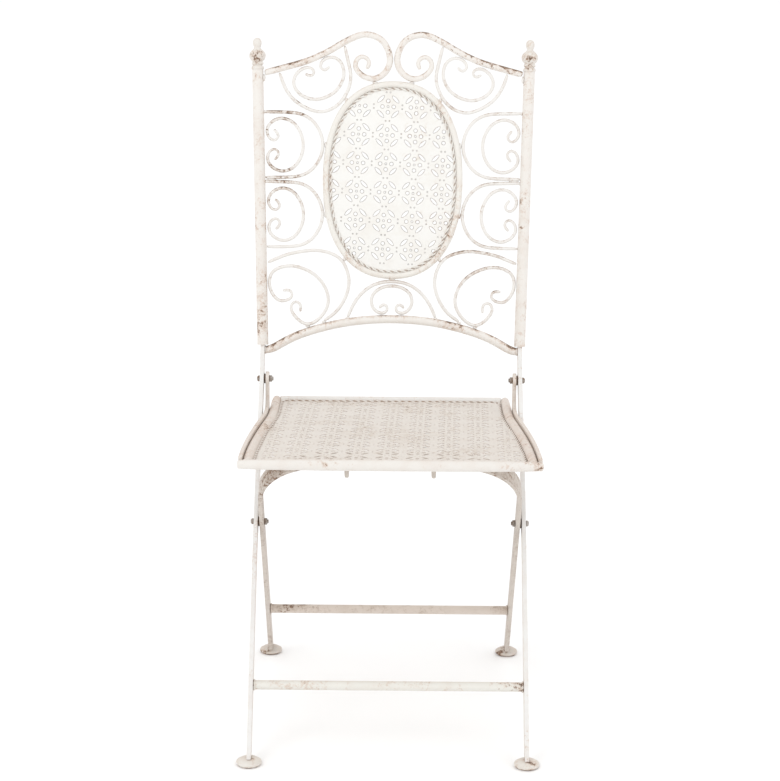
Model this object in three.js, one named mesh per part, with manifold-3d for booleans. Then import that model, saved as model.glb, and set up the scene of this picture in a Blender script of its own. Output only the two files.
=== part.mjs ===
// Folding wrought iron garden chair with an oval punched back, scrolled wire work and a punched seat.
// Millimetres, +Z up, and the front of the chair faces -Y.
// The origin is on the floor, under the middle of the chair's width and depth.
import * as THREE from 'three';
import { mergeVertices } from 'three/addons/utils/BufferGeometryUtils.js';
import Module from 'manifold-3d';

const wasm = await Module();
wasm.setup();

// Driving dimensions of the side view
const FOOT_TO_REAR_FOOT = 434;
const LEG_LEAN_DEG = 32.4;
const CROSS_PIVOT_HEIGHT = 298;
const SEAT_PIVOT_HEIGHT = 482;
const BACK_LEAN_DEG = 10;
const BACK_BEND_RADIUS = 128;
const BACK_BEND_START = 12;
const SEAT_TILT_DEG = 2.6;
const SEAT_DROP = 48;
const SEAT_FRONT_REACH = 326;
const SEAT_REAR_REACH = 69.5;
const UPRIGHT_LENGTH = 404;

// Half widths of the frame from the floor up
const FOOT_HALF = 195.6;
const CROSS_PIVOT_HALF = 194.8;
const SEAT_PIVOT_HALF = 191.2;
const UPRIGHT_FOOT_HALF = 190.3;
const UPRIGHT_SPLAY = 0.0222;
const REAR_FOOT_HALF = 187;

// Bars, tubes and rods
const BAR_WIDTH = 22;
const BAR_THICKNESS = 6;
const TANG_WIDTH = 9.5;
const TANG_LENGTH = 60;
const BOW_WIDTH = 24;
const BOW_THICKNESS = 6;
const BOW_BEND_RADIUS = 90;
const ARM_WIDTH = 17;
const ARM_THICKNESS = 5;
const ARM_EYE_RADIUS = 11;
const UPRIGHT_RADIUS = 8.2;
const UPRIGHT_WALL = 1.6;
const TOP_RAIL_RADIUS = 4.6;
const TOP_RAIL_TIP_RADIUS = 3;
const BOTTOM_RAIL_RADIUS = 6.2;
const RING_RADIUS = 4.6;
const ROPE_RADIUS = 2.6;
const SCROLL_RADIUS = 2.5;
const RUNG_RADIUS = 6.8;
const RUNG_WALL = 1.5;
const FRONT_RUNG_HEIGHT = 96;
const REAR_RUNG_HEIGHT = 103;
const FOOT_RADIUS = 18;
const REAR_FOOT_RADIUS = 17.5;
const FOOT_THICKNESS = 10.5;

// Seat frame
const SEAT_FRONT_RAIL_RADIUS = 8;
const SEAT_FRONT_RAIL_LENGTH = 412;
const SEAT_SIDE_RAIL_RADIUS = 7;
const SEAT_REAR_RAIL_RADIUS = 6;
const SEAT_ROD_RADIUS = 3.5;
const SEAT_ROD_X = 60.5;
const STOP_PEG_LENGTH = 35;
const ARM_HALF_AT_PIVOT = 183;
const ARM_HALF_AT_FRONT = 203;
const ARM_FLARE_START = -46;

// Oval of the back
const OVAL_HALF_WIDTH = 98.5;
const OVAL_HALF_HEIGHT = 141;
const OVAL_CENTRE = 243.5;
const OVAL_POWER = 2.32;
const ROPE_PITCH = 30;
const SEAT_ROPE_PITCH = 52;

// Punched sheet
const SHEET_THICKNESS = 1.2;
const ROSETTE_PITCH = 41.8;
const ROSETTE_TURN_DEG = -1.8;
const SLOT_RADIUS = 15.5;
const SLOT_LENGTH = 16;
const SLOT_WIDTH = 5;
const SHEET_MARGIN = 3;

// Fasteners
const BOLT_RADIUS = 3;
const BOLT_HOLE_RADIUS = 3.6;
const BOLT_HEAD_RADIUS = 4.6;
const BOLT_HEAD_HEIGHT = 4;
const NUT_RADIUS = 5;
const NUT_HEIGHT = 4;
const BOLT_TIP = 2;
const WASHER_RADIUS = 7.5;

// Clearance between touching pieces, and play where pieces slide on each other
const GAP = 0.3;
const SLIDE_PLAY = 0.6;

// Facets
const SCROLL_SIDES = 6;
const RAIL_SIDES = 8;
const ROUND_SIDES = 12;
const FASTENER_SIDES = 8;
const FINIAL_SIDES = 9;

// Angles and directions of the side view, as [y, z]
const rad = THREE.MathUtils.degToRad;
const legLean = rad(LEG_LEAN_DEG);
const backLean = rad(BACK_LEAN_DEG);
const seatTilt = rad(SEAT_TILT_DEG);
const frontFootY = 0;
const rearFootY = frontFootY + FOOT_TO_REAR_FOOT;
const crossPivot = [frontFootY + CROSS_PIVOT_HEIGHT * Math.tan(legLean), CROSS_PIVOT_HEIGHT];
const seatPivot = [frontFootY + SEAT_PIVOT_HEIGHT * Math.tan(legLean), SEAT_PIVOT_HEIGHT];
const rearLean = Math.atan2(rearFootY - crossPivot[0], CROSS_PIVOT_HEIGHT);

// The long bar bends from the leg's lean to the back's lean just above the seat pivot
const bendStart = [
  seatPivot[0] - BACK_BEND_START * Math.sin(legLean),
  seatPivot[1] - BACK_BEND_START * Math.cos(legLean),
];
const bendCentre = [
  bendStart[0] - BACK_BEND_RADIUS * Math.cos(legLean),
  bendStart[1] + BACK_BEND_RADIUS * Math.sin(legLean),
];
const bendEnd = [
  bendCentre[0] + BACK_BEND_RADIUS * Math.cos(backLean),
  bendCentre[1] - BACK_BEND_RADIUS * Math.sin(backLean),
];
const BACK_ROOT_RISE = 12.5;
const backRoot = [
  bendEnd[0] + BACK_ROOT_RISE * Math.tan(backLean),
  bendEnd[1] + BACK_ROOT_RISE,
];

// Half width of the long bars at a height, straight between the pivots
function barHalf(z) {
  const stops = [
    [0, FOOT_HALF],
    [CROSS_PIVOT_HEIGHT, CROSS_PIVOT_HALF],
    [SEAT_PIVOT_HEIGHT, SEAT_PIVOT_HALF],
    [backRoot[1], UPRIGHT_FOOT_HALF],
  ];
  if (z >= backRoot[1]) {
    return UPRIGHT_FOOT_HALF + UPRIGHT_SPLAY * (z - backRoot[1]) / Math.cos(backLean);
  }
  let k = 1;
  while (stops[k][0] < z) {
    k += 1;
  }
  const [z0, w0] = stops[k - 1];
  const [z1, w1] = stops[k];
  return w0 + (w1 - w0) * (z - z0) / (z1 - z0);
}

// Half width of an upright's axis, at a distance up the back
function uprightHalf(t) {
  return UPRIGHT_FOOT_HALF + UPRIGHT_SPLAY * t;
}

const colours = {
  cream: { color: 0xf1ede3, roughness: 0.6, metalness: 0.05 },
  ivory: { color: 0xe9e7d8, roughness: 0.65, metalness: 0.05 },
  sand: { color: 0xe0d9cf, roughness: 0.7, metalness: 0.05 },
  taupe: { color: 0xcfc4b8, roughness: 0.7, metalness: 0.05 },
  iron: { color: 0x54453b, roughness: 0.8, metalness: 0.4 },
};

function piece(name, geometry, colour) {
  const mesh = new THREE.Mesh(geometry, new THREE.MeshStandardMaterial(colours[colour]));
  mesh.name = name;
  return mesh;
}

// Closed mesh with shared vertices, from a geometry that has normals and uvs
function bare(geometry) {
  const copy = geometry.clone();
  copy.deleteAttribute('normal');
  copy.deleteAttribute('uv');
  return mergeVertices(copy, 1e-4);
}

function toSolid(geometry) {
  const merged = bare(geometry);
  return new wasm.Manifold(new wasm.Mesh({
    numProp: 3,
    vertProperties: new Float32Array(merged.attributes.position.array),
    triVerts: new Uint32Array(merged.index.array),
  }));
}

function fromSolid(solid) {
  const mesh = solid.getMesh();
  const geometry = new THREE.BufferGeometry();
  geometry.setAttribute('position', new THREE.BufferAttribute(mesh.vertProperties, 3));
  geometry.setIndex(new THREE.BufferAttribute(mesh.triVerts, 1));
  geometry.computeVertexNormals();
  return geometry;
}

// Solid that follows a flat path. The path's points are [x, z], and the section lies across it.
// options: closed joins the ends, twist turns the section, tip is the radius at the far end.
function sweep(points, radius, sides, options = {}) {
  const closed = options.closed === true;
  const turns = options.turns === undefined ? 0 : options.turns;
  const tip = options.tip === undefined ? radius : options.tip;
  const tipFrom = options.tipFrom === undefined ? 0.5 : options.tipFrom;
  const count = points.length;
  const position = [];
  const index = [];
  for (let i = 0; i < count; i += 1) {
    const before = points[closed ? (i + count - 1) % count : Math.max(i - 1, 0)];
    const after = points[closed ? (i + 1) % count : Math.min(i + 1, count - 1)];
    const length = Math.hypot(after[0] - before[0], after[1] - before[1]);
    const tx = (after[0] - before[0]) / length;
    const tz = (after[1] - before[1]) / length;
    const along = i / (closed ? count : count - 1);
    const fade = Math.max(0, (along - tipFrom) / (1 - tipFrom));
    const r = radius + (tip - radius) * fade;
    for (let j = 0; j < sides; j += 1) {
      const angle = 2 * Math.PI * (j + 0.5) / sides + 2 * Math.PI * turns * along;
      const side = r * Math.cos(angle);
      position.push(points[i][0] + tz * side, r * Math.sin(angle), points[i][1] - tx * side);
    }
  }
  const rings = closed ? count : count - 1;
  for (let i = 0; i < rings; i += 1) {
    const next = (i + 1) % count;
    for (let j = 0; j < sides; j += 1) {
      const k = (j + 1) % sides;
      index.push(i * sides + j, i * sides + k, next * sides + j);
      index.push(i * sides + k, next * sides + k, next * sides + j);
    }
  }
  if (!closed) {
    const last = (count - 1) * sides;
    for (let j = 1; j < sides - 1; j += 1) {
      index.push(0, j + 1, j);
      index.push(last, last + j, last + j + 1);
    }
  }
  const geometry = new THREE.BufferGeometry();
  geometry.setAttribute('position', new THREE.BufferAttribute(new Float32Array(position), 3));
  geometry.setIndex(index);
  geometry.computeVertexNormals();
  return geometry;
}

// Even points on a smooth curve through the given [x, z] points
function smooth(through, steps) {
  const curve = new THREE.CatmullRomCurve3(
    through.map(([x, z]) => new THREE.Vector3(x, 0, z)), false, 'centripetal');
  return curve.getSpacedPoints(steps).map((p) => [p.x, p.z]);
}

function mirrorX(points) {
  return points.map(([x, z]) => [-x, z]);
}

// Height of a path at a given x, where the path runs from left to right
function heightAt(path, x) {
  let k = 1;
  while (k < path.length - 1 && path[k][0] < x) {
    k += 1;
  }
  const [x0, z0] = path[k - 1];
  const [x1, z1] = path[k];
  return z0 + (z1 - z0) * (x - x0) / (x1 - x0);
}

// Tube or turned piece about +Z, from a profile of [radius, height]
function turned(profile, sides) {
  const points = profile.map(([r, h]) => new THREE.Vector2(r, h));
  const geometry = new THREE.LatheGeometry(points, sides);
  geometry.rotateX(Math.PI / 2);
  return geometry;
}

function hollowTube(radius, wall, length, sides) {
  const inner = radius - wall;
  return turned([[inner, 0], [radius, 0], [radius, length], [inner, length], [inner, 0]], sides);
}

// Flat bar between two edges of [y, z] points, as thick as given across x, beside the middle of the chair
function flatBar(frontEdge, rearEdge, thickness, halfAt, side) {
  const position = [];
  const index = [];
  const count = frontEdge.length;
  for (let i = 0; i < count; i += 1) {
    for (const [edge, across] of [[frontEdge, -1], [rearEdge, -1], [rearEdge, 1], [frontEdge, 1]]) {
      const [y, z] = edge[i];
      position.push(side * halfAt(y, z) + across * thickness / 2, y, z);
    }
  }
  for (let i = 0; i < count - 1; i += 1) {
    for (let j = 0; j < 4; j += 1) {
      const a = i * 4 + j;
      const b = i * 4 + (j + 1) % 4;
      index.push(a, a + 4, b, b, a + 4, b + 4);
    }
  }
  const last = (count - 1) * 4;
  index.push(0, 1, 2, 0, 2, 3, last, last + 2, last + 1, last, last + 3, last + 2);
  const geometry = new THREE.BufferGeometry();
  geometry.setAttribute('position', new THREE.BufferAttribute(new Float32Array(position), 3));
  geometry.setIndex(index);
  return geometry;
}

// Round disc across x, centred at a [y, z] place
function crossDisc(radius, thickness, middle, y, z) {
  const disc = turned([
    [0, -thickness / 2], [radius, -thickness / 2], [radius, thickness / 2], [0, thickness / 2],
  ], ROUND_SIDES);
  disc.rotateY(Math.PI / 2);
  disc.translate(middle, y, z);
  return disc;
}

function boltHole(middle, y, z) {
  return toSolid(crossDisc(BOLT_HOLE_RADIUS, 4 * BAR_THICKNESS, middle, y, z));
}

const sides = [['left', -1], ['right', 1]];
const chair = new THREE.Group();

// Long bars: front legs that rise past the seat and enter the upright tubes with a narrow tang
const SHOULDER_DROP = 1;
const BEND_STEPS = 6;

function longBarEdges() {
  const half = BAR_WIDTH / 2;
  const cut = FOOT_THICKNESS + GAP;
  const slope = Math.tan(legLean);
  const front = [];
  const rear = [];
  const across = half / Math.cos(legLean);
  front.push([frontFootY + cut * slope - across, cut]);
  rear.push([frontFootY + cut * slope + across, cut]);
  const betweenPivots = (CROSS_PIVOT_HEIGHT + SEAT_PIVOT_HEIGHT) / 2;
  for (const z of [CROSS_PIVOT_HEIGHT / 2, CROSS_PIVOT_HEIGHT, betweenPivots]) {
    const middle = frontFootY + z * slope;
    front.push([middle - half * Math.cos(legLean), z + half * Math.sin(legLean)]);
    rear.push([middle + half * Math.cos(legLean), z - half * Math.sin(legLean)]);
  }
  for (let k = 0; k <= BEND_STEPS; k += 1) {
    const a = legLean + (backLean - legLean) * k / BEND_STEPS;
    front.push([
      bendCentre[0] + (BACK_BEND_RADIUS - half) * Math.cos(a),
      bendCentre[1] - (BACK_BEND_RADIUS - half) * Math.sin(a),
    ]);
    rear.push([
      bendCentre[0] + (BACK_BEND_RADIUS + half) * Math.cos(a),
      bendCentre[1] - (BACK_BEND_RADIUS + half) * Math.sin(a),
    ]);
  }
  const up = [Math.sin(backLean), Math.cos(backLean)];
  const onBack = (t, offset) => [
    backRoot[0] + up[0] * t + up[1] * offset,
    backRoot[1] + up[1] * t - up[0] * offset,
  ];
  const tang = TANG_WIDTH / 2;
  for (const t of [-SHOULDER_DROP, TANG_LENGTH / 2, TANG_LENGTH]) {
    front.push(onBack(t, -tang));
    rear.push(onBack(t, tang));
  }
  return [front, rear];
}

for (const [word, side] of sides) {
  const [front, rear] = longBarEdges();
  let bar = toSolid(flatBar(front, rear, BAR_THICKNESS, (y, z) => barHalf(z), side));
  bar = bar.subtract(boltHole(side * CROSS_PIVOT_HALF, crossPivot[0], crossPivot[1]));
  bar = bar.subtract(boltHole(side * SEAT_PIVOT_HALF, seatPivot[0], seatPivot[1]));
  chair.add(piece(`long_bar_${word}`, fromSolid(bar), 'cream'));
}

// Feet: flat pucks with rounded rims
function puck(radius) {
  const r = FOOT_THICKNESS * 0.3;
  return turned([
    [0, 0], [radius - r, 0], [radius, r], [radius, FOOT_THICKNESS - r],
    [radius - r, FOOT_THICKNESS], [0, FOOT_THICKNESS],
  ], ROUND_SIDES);
}

const frontFootTop = frontFootY + FOOT_THICKNESS * Math.tan(legLean) / 2;
const rearFootTop = rearFootY - FOOT_THICKNESS * Math.tan(rearLean) / 2;
for (const [word, side] of sides) {
  const front = piece(`front_foot_${word}`, puck(FOOT_RADIUS), 'cream');
  front.position.set(side * FOOT_HALF, frontFootTop, 0);
  chair.add(front);
  const rear = piece(`rear_foot_${word}`, puck(REAR_FOOT_RADIUS), 'cream');
  rear.position.set(side * REAR_FOOT_HALF, rearFootTop, 0);
  chair.add(rear);
}

// Front rung between the long bars
const frontRungHalf = barHalf(FRONT_RUNG_HEIGHT) - BAR_THICKNESS / 2 - GAP;
const frontRung = hollowTube(RUNG_RADIUS, RUNG_WALL, 2 * frontRungHalf, ROUND_SIDES);
frontRung.rotateY(Math.PI / 2);
frontRung.translate(-frontRungHalf, frontFootY + FRONT_RUNG_HEIGHT * Math.tan(legLean), FRONT_RUNG_HEIGHT);
chair.add(piece('front_rung', frontRung, 'cream'));

// The back lies in a leaning plane: x across, z up the plane from the foot of the uprights
const back = new THREE.Group();
back.position.set(0, backRoot[0], backRoot[1]);
back.rotation.x = -backLean;
chair.add(back);

const splay = Math.atan(UPRIGHT_SPLAY);
const uprightBore = UPRIGHT_RADIUS - UPRIGHT_WALL;

// Finial: collar, cove, bead, bulb, neck and a tall rounded knob, with a spigot in the tube's bore
const FINIAL_SPIGOT = 10;
const finialProfile = [
  [0, -FINIAL_SPIGOT], [uprightBore - 1.5 * GAP, -FINIAL_SPIGOT], [uprightBore - 1.5 * GAP, GAP],
  [9, GAP], [9, 4], [6.8, 6], [8.8, 8.5], [7.2, 11.5], [11.2, 16],
  [12, 20.5], [10.4, 25.5], [6.2, 29.5], [5.2, 31.5], [6.2, 35.5], [5.6, 42], [0, 46],
];

for (const [word, side] of sides) {
  const axis = new THREE.Group();
  axis.position.x = side * UPRIGHT_FOOT_HALF;
  axis.rotation.y = side * splay;
  back.add(axis);
  const tube = hollowTube(UPRIGHT_RADIUS, UPRIGHT_WALL, UPRIGHT_LENGTH, ROUND_SIDES);
  axis.add(piece(`upright_${word}`, tube, 'cream'));
  const finial = piece(`finial_${word}`, turned(finialProfile, FINIAL_SIDES), 'cream');
  finial.position.z = UPRIGHT_LENGTH;
  axis.add(finial);
}

// Where the inner side of the left upright is, seen as an x
function uprightInner(t) {
  return -uprightHalf(t) + UPRIGHT_RADIUS / Math.cos(splay);
}

// Point of the oval at an angle from its right, grown by an offset
function ovalPoint(angle, offset) {
  const c = Math.cos(angle);
  const s = Math.sin(angle);
  const power = 2 / OVAL_POWER;
  return [
    (OVAL_HALF_WIDTH + offset) * Math.sign(c) * Math.abs(c) ** power,
    OVAL_CENTRE + (OVAL_HALF_HEIGHT + offset) * Math.sign(s) * Math.abs(s) ** power,
  ];
}

function ovalLoop(offset, steps) {
  const dense = [];
  const fine = 720;
  for (let k = 0; k < fine; k += 1) {
    dense.push(ovalPoint(2 * Math.PI * k / fine, offset));
  }
  return evenLoop(dense, steps);
}

// Points at even spacing round a closed loop
function evenLoop(loop, steps) {
  const run = [0];
  for (let k = 0; k < loop.length; k += 1) {
    const a = loop[k];
    const b = loop[(k + 1) % loop.length];
    run.push(run[k] + Math.hypot(b[0] - a[0], b[1] - a[1]));
  }
  const total = run[loop.length];
  const out = [];
  let k = 0;
  for (let i = 0; i < steps; i += 1) {
    const want = total * i / steps;
    while (run[k + 1] <= want) {
      k += 1;
    }
    const f = (want - run[k]) / (run[k + 1] - run[k]);
    const a = loop[k];
    const b = loop[(k + 1) % loop.length];
    out.push([a[0] + (b[0] - a[0]) * f, a[1] + (b[1] - a[1]) * f]);
  }
  return out;
}

function loopLength(loop) {
  let total = 0;
  loop.forEach((a, k) => {
    const b = loop[(k + 1) % loop.length];
    total += Math.hypot(b[0] - a[0], b[1] - a[1]);
  });
  return total;
}

// Left x of the oval at a height up the back, grown by an offset
function ovalSide(t, offset) {
  const share = Math.abs(t - OVAL_CENTRE) / (OVAL_HALF_HEIGHT + offset);
  return -(OVAL_HALF_WIDTH + offset) * (1 - Math.min(share, 1) ** OVAL_POWER) ** (1 / OVAL_POWER);
}

// Top of the oval at an x, grown by an offset
function ovalRise(x, offset) {
  const share = Math.abs(x) / (OVAL_HALF_WIDTH + offset);
  return (OVAL_HALF_HEIGHT + offset) * (1 - Math.min(share, 1) ** OVAL_POWER) ** (1 / OVAL_POWER);
}

// Oval ring, with a twisted wire and the punched sheet inside it. The square wire's flats are its reach.
back.add(piece('oval_ring', sweep(ovalLoop(0, 42), RING_RADIUS, RAIL_SIDES, { closed: true }), 'ivory'));
const ropeReach = ROPE_RADIUS * Math.SQRT1_2;
const ropeInset = RING_RADIUS + ropeReach + GAP;
const ovalRopeTurns = Math.round(loopLength(ovalLoop(-ropeInset, 90)) / ROPE_PITCH);
const ovalRope = sweep(ovalLoop(-ropeInset, 4 * ovalRopeTurns), ROPE_RADIUS, 4,
  { closed: true, turns: ovalRopeTurns });
back.add(piece('oval_rope', ovalRope, 'ivory'));

// Pointed slot, turned by an angle about a centre
function slotPath(cx, cy, angle, length, width) {
  const path = [];
  const shape = [
    [-length / 2, 0], [0, -width / 2], [length / 2, 0], [0, width / 2],
  ];
  for (const [u, v] of shape) {
    path.push([
      cx + u * Math.cos(angle) - v * Math.sin(angle),
      cy + u * Math.sin(angle) + v * Math.cos(angle),
    ]);
  }
  return path;
}

// Sheet with an outline of [x, y] points and cut-outs, centred on its thickness
function punchedSheet(outline, cutouts) {
  const shape = new THREE.Shape(outline.map(([x, y]) => new THREE.Vector2(x, y)));
  for (const cut of cutouts) {
    shape.holes.push(new THREE.Path(cut.map(([x, y]) => new THREE.Vector2(x, y))));
  }
  const geometry = new THREE.ExtrudeGeometry(shape, { depth: SHEET_THICKNESS, bevelEnabled: false });
  geometry.translate(0, 0, -SHEET_THICKNESS / 2);
  return geometry;
}

// Rosette centres on a square grid that is turned a little, over a rectangle
function rosetteCentres(halfX, halfY, offsetX, offsetY) {
  const turn = rad(ROSETTE_TURN_DEG);
  const countX = Math.ceil(halfX / ROSETTE_PITCH) + 1;
  const countY = Math.ceil(halfY / ROSETTE_PITCH) + 1;
  const centres = [];
  for (let i = -countX; i <= countX; i += 1) {
    for (let j = -countY; j <= countY; j += 1) {
      const u = i * ROSETTE_PITCH + offsetX;
      const v = j * ROSETTE_PITCH + offsetY;
      centres.push([u * Math.cos(turn) - v * Math.sin(turn), u * Math.sin(turn) + v * Math.cos(turn)]);
    }
  }
  return centres;
}

const ovalSheetInset = ropeInset + ropeReach + GAP;
const ROSETTE_SHIFT_X = -9;
const ROSETTE_SHIFT_Z = 22.5;

function insideOval(x, t, margin) {
  const inset = ovalSheetInset + margin;
  const u = Math.abs(x) / (OVAL_HALF_WIDTH - inset);
  const v = Math.abs(t) / (OVAL_HALF_HEIGHT - inset);
  return u ** OVAL_POWER + v ** OVAL_POWER < 1;
}

const ovalCuts = [];
for (const [x, t] of rosetteCentres(OVAL_HALF_WIDTH, OVAL_HALF_HEIGHT, ROSETTE_SHIFT_X, ROSETTE_SHIFT_Z)) {
  for (let k = 0; k < 4; k += 1) {
    const angle = Math.PI / 4 + k * Math.PI / 2 + rad(ROSETTE_TURN_DEG);
    const cx = x + SLOT_RADIUS * Math.cos(angle);
    const cy = t + SLOT_RADIUS * Math.sin(angle);
    const cut = slotPath(cx, cy, angle + Math.PI / 2, SLOT_LENGTH, SLOT_WIDTH);
    if (cut.every(([u, v]) => insideOval(u, v, SHEET_MARGIN))) {
      ovalCuts.push(cut);
    }
  }
}
const ovalOutline = ovalLoop(-ovalSheetInset, 52).map(([x, t]) => [x, t - OVAL_CENTRE]);
const ovalSheet = punchedSheet(ovalOutline, ovalCuts);
ovalSheet.rotateX(Math.PI / 2);
ovalSheet.translate(0, 0, OVAL_CENTRE);
back.add(piece('oval_sheet', ovalSheet, 'ivory'));

// Top rails: each leaves an upright, rises to a crest over the oval and rolls into a volute on it
const RAIL_JOIN = UPRIGHT_LENGTH + 1.5;
const ovalTop = OVAL_CENTRE + OVAL_HALF_HEIGHT;
const touchRail = RING_RADIUS + TOP_RAIL_RADIUS + GAP;
const railStartX = -uprightHalf(RAIL_JOIN) + UPRIGHT_RADIUS + GAP + 0.4 * TOP_RAIL_RADIUS;
const VOLUTE_BOTTOM_X = -27;
const voluteBottom = OVAL_CENTRE + ovalRise(VOLUTE_BOTTOM_X, touchRail);
const railThrough = [
  [railStartX, RAIL_JOIN - 6], [-159, RAIL_JOIN + 2], [-124, ovalTop + 33.5], [-93, ovalTop + 48],
  [-71, ovalTop + 61], [-43, ovalTop + 72], [-17, ovalTop + 63.5],
  [-TOP_RAIL_RADIUS - GAP, ovalTop + 37], [-10, voluteBottom + 12], [VOLUTE_BOTTOM_X, voluteBottom],
  [-48, voluteBottom + 6], [-57.5, voluteBottom + 22], [-47, voluteBottom + 34],
  [-34.5, voluteBottom + 26], [-39, voluteBottom + 15],
];
const railPath = smooth(railThrough, 35);
const railRise = railPath.slice(0, 14);
for (const [word, side] of sides) {
  const path = side < 0 ? railPath : mirrorX(railPath);
  const geometry = sweep(path, TOP_RAIL_RADIUS, RAIL_SIDES, { tip: TOP_RAIL_TIP_RADIUS, tipFrom: 0.7 });
  back.add(piece(`top_rail_${word}`, geometry, 'cream'));
}

// Bottom rail: a shallow arch whose ends meet the long bars just under the uprights
const BOTTOM_RAIL_DROP = -BOTTOM_RAIL_RADIUS - 1.6;
const bottomRailEnd = barHalf(backRoot[1] + BOTTOM_RAIL_DROP) - BAR_THICKNESS / 2 - 3 * GAP;
const BOTTOM_RAIL_RISE = 39;
const bottomHalf = [
  [10 - bottomRailEnd, BOTTOM_RAIL_DROP + 0.8], [-150, BOTTOM_RAIL_DROP + 17],
  [-119, BOTTOM_RAIL_RISE - 18], [-65, BOTTOM_RAIL_RISE - 5], [0, BOTTOM_RAIL_RISE],
];
const bottomPath = [[-bottomRailEnd, BOTTOM_RAIL_DROP]]
  .concat(smooth(bottomHalf.concat(mirrorX(bottomHalf.slice(0, -1)).reverse()), 17))
  .concat([[bottomRailEnd, BOTTOM_RAIL_DROP]]);
back.add(piece('bottom_rail', sweep(bottomPath, BOTTOM_RAIL_RADIUS, RAIL_SIDES), 'cream'));

// Scroll wires of the left half. Each is placed from what it touches: upright, oval, rail or wire.
const touchRing = RING_RADIUS + SCROLL_RADIUS + GAP;
const underRail = TOP_RAIL_RADIUS + GAP;
const overBottom = BOTTOM_RAIL_RADIUS + GAP;

function uprightTouch(t) {
  return uprightInner(t) + SCROLL_RADIUS + GAP;
}

// D loop beside the oval: it springs from the upright, runs level, and bows out to touch the oval
const D_HALF_HEIGHT = 48;
const D_MIDDLE = 51;
const C_HALF_HEIGHT = 40;
const D_LEVEL_SHARE = 0.66;

function sideBow(middle, flip) {
  const at = (dx, dz) => [dx, middle + flip * dz];
  const touch = ovalSide(middle, touchRing);
  const level = (share) => uprightInner(middle) + (touch - uprightInner(middle)) * share;
  return [
    at(uprightInner(middle + flip * D_HALF_HEIGHT) + GAP, D_HALF_HEIGHT),
    at(level(0.3), D_HALF_HEIGHT - 0.3), at(level(D_LEVEL_SHARE), D_HALF_HEIGHT - 3),
    at(level(0.88), D_HALF_HEIGHT - 18), at(touch, 0),
    at(level(0.88), 18 - D_HALF_HEIGHT), at(level(D_LEVEL_SHARE), 3 - D_HALF_HEIGHT),
    at(level(0.3), 0.3 - D_HALF_HEIGHT),
    at(uprightInner(middle - flip * D_HALF_HEIGHT) + GAP, -D_HALF_HEIGHT),
  ];
}

// C scroll inside the D loop, with both curls resting on the upright
function sideCurl(middle) {
  const reach = ovalSide(middle, touchRing) - uprightInner(middle);
  const half = [
    [11.2, 22.5], [20.2, 13], [11.2, 3.7], [1.3, 12], [1.5, 28], [23, C_HALF_HEIGHT],
    [reach * 0.51, 29], [reach * 0.63, 0],
  ];
  const upper = half.map(([x, z]) => [uprightTouch(middle + z) + x, middle + z]);
  const lower = half.slice(0, -1).reverse();
  return upper.concat(lower.map(([x, z]) => [uprightTouch(middle - z) + x, middle - z]));
}

// Corner loop over the oval: hangs from the top rail, rests on the oval and climbs past the volute
function topBow() {
  const startX = -167;
  const endX = -72;
  const restT = ovalTop - 24;
  return [
    [startX, heightAt(railRise, startX) - underRail - 1], [-161, RAIL_JOIN - 24],
    [-147, RAIL_JOIN - 45], [-108, ovalTop - 42.5], [-84, ovalTop - 34],
    [ovalSide(restT, touchRing) - 1.2, restT], [-62, ovalTop + 4],
    [-58 - TOP_RAIL_RADIUS - SCROLL_RADIUS - 2 * GAP, ovalTop + 28],
    [endX, heightAt(railRise, endX) - underRail - 1],
  ];
}

function topCurl() {
  return [
    [-129, ovalTop + 13.5], [-120, ovalTop + 9], [-114.5, ovalTop + 16], [-123, ovalTop + 24],
    [-137, ovalTop + 19.5], [-147.5, ovalTop + 3], [-139, ovalTop - 15], [-113, ovalTop - 24],
    [-84, ovalTop - 11], [-72.5, ovalTop + 12], [-77, ovalTop + 31.5], [-90, ovalTop + 39.3],
    [-104, ovalTop + 34], [-109, ovalTop + 25], [-102, ovalTop + 17], [-94, ovalTop + 24.5],
  ];
}

// Corner loop under the oval: from the upright over the curl, past the oval and down to the bottom rail
function bottomBow() {
  const startT = OVAL_CENTRE - 122;
  const endX = -100;
  const restT = OVAL_CENTRE - OVAL_HALF_HEIGHT + 25;
  return [
    [uprightInner(startT) + GAP + 0.4 * SCROLL_RADIUS, startT], [-152, startT + 13],
    [-132, startT + 16.5], [-114, startT + 19], [-93, startT + 15],
    [ovalSide(restT, touchRing) - 0.8, restT], [-62.5, restT - 33], [-70, restT - 61],
    [-83, restT - 80], [endX, heightAt(bottomPath, endX) + overBottom + SCROLL_RADIUS + 0.6],
  ];
}

function bottomCurl() {
  const restX = -124;
  const rest = heightAt(bottomPath, restX) + overBottom + SCROLL_RADIUS + 0.6;
  const wall = uprightTouch(80) + 0.4;
  return [
    [-161, 80], [-152, 83], [-144.5, 74.5], [-152, 66], [-167, 64], [wall, 84],
    [-178, 107], [-152, 117], [-122, 109], [-103, 93], [-93, 68], [-99, 48],
    [restX, rest], [-148, rest + 19], [-150.5, rest + 29], [-142, rest + 37], [-133, rest + 31],
    [-135, rest + 20],
  ];
}

// Arch and scroll under the oval, on the centre line
function centreArch() {
  const footX = -65;
  const half = [
    [footX, heightAt(bottomPath, footX) + overBottom + 1], [-53, BOTTOM_RAIL_RISE + 28],
    [-29, BOTTOM_RAIL_RISE + 50], [0, OVAL_CENTRE - OVAL_HALF_HEIGHT - touchRing],
  ];
  return half.concat(mirrorX(half.slice(0, -1)).reverse());
}

function centreCurl() {
  const rest = BOTTOM_RAIL_RISE + overBottom + SCROLL_RADIUS - 1.4;
  const half = [
    [-18.5, rest + 9], [-10.5, rest + 15.5], [-4.5, rest + 7], [-15, rest],
    [-28, rest + 9], [-29.5, rest + 26], [-16, rest + 38.5], [0, rest + 41.5],
  ];
  return half.concat(mirrorX(half.slice(0, -1)).reverse());
}

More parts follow.
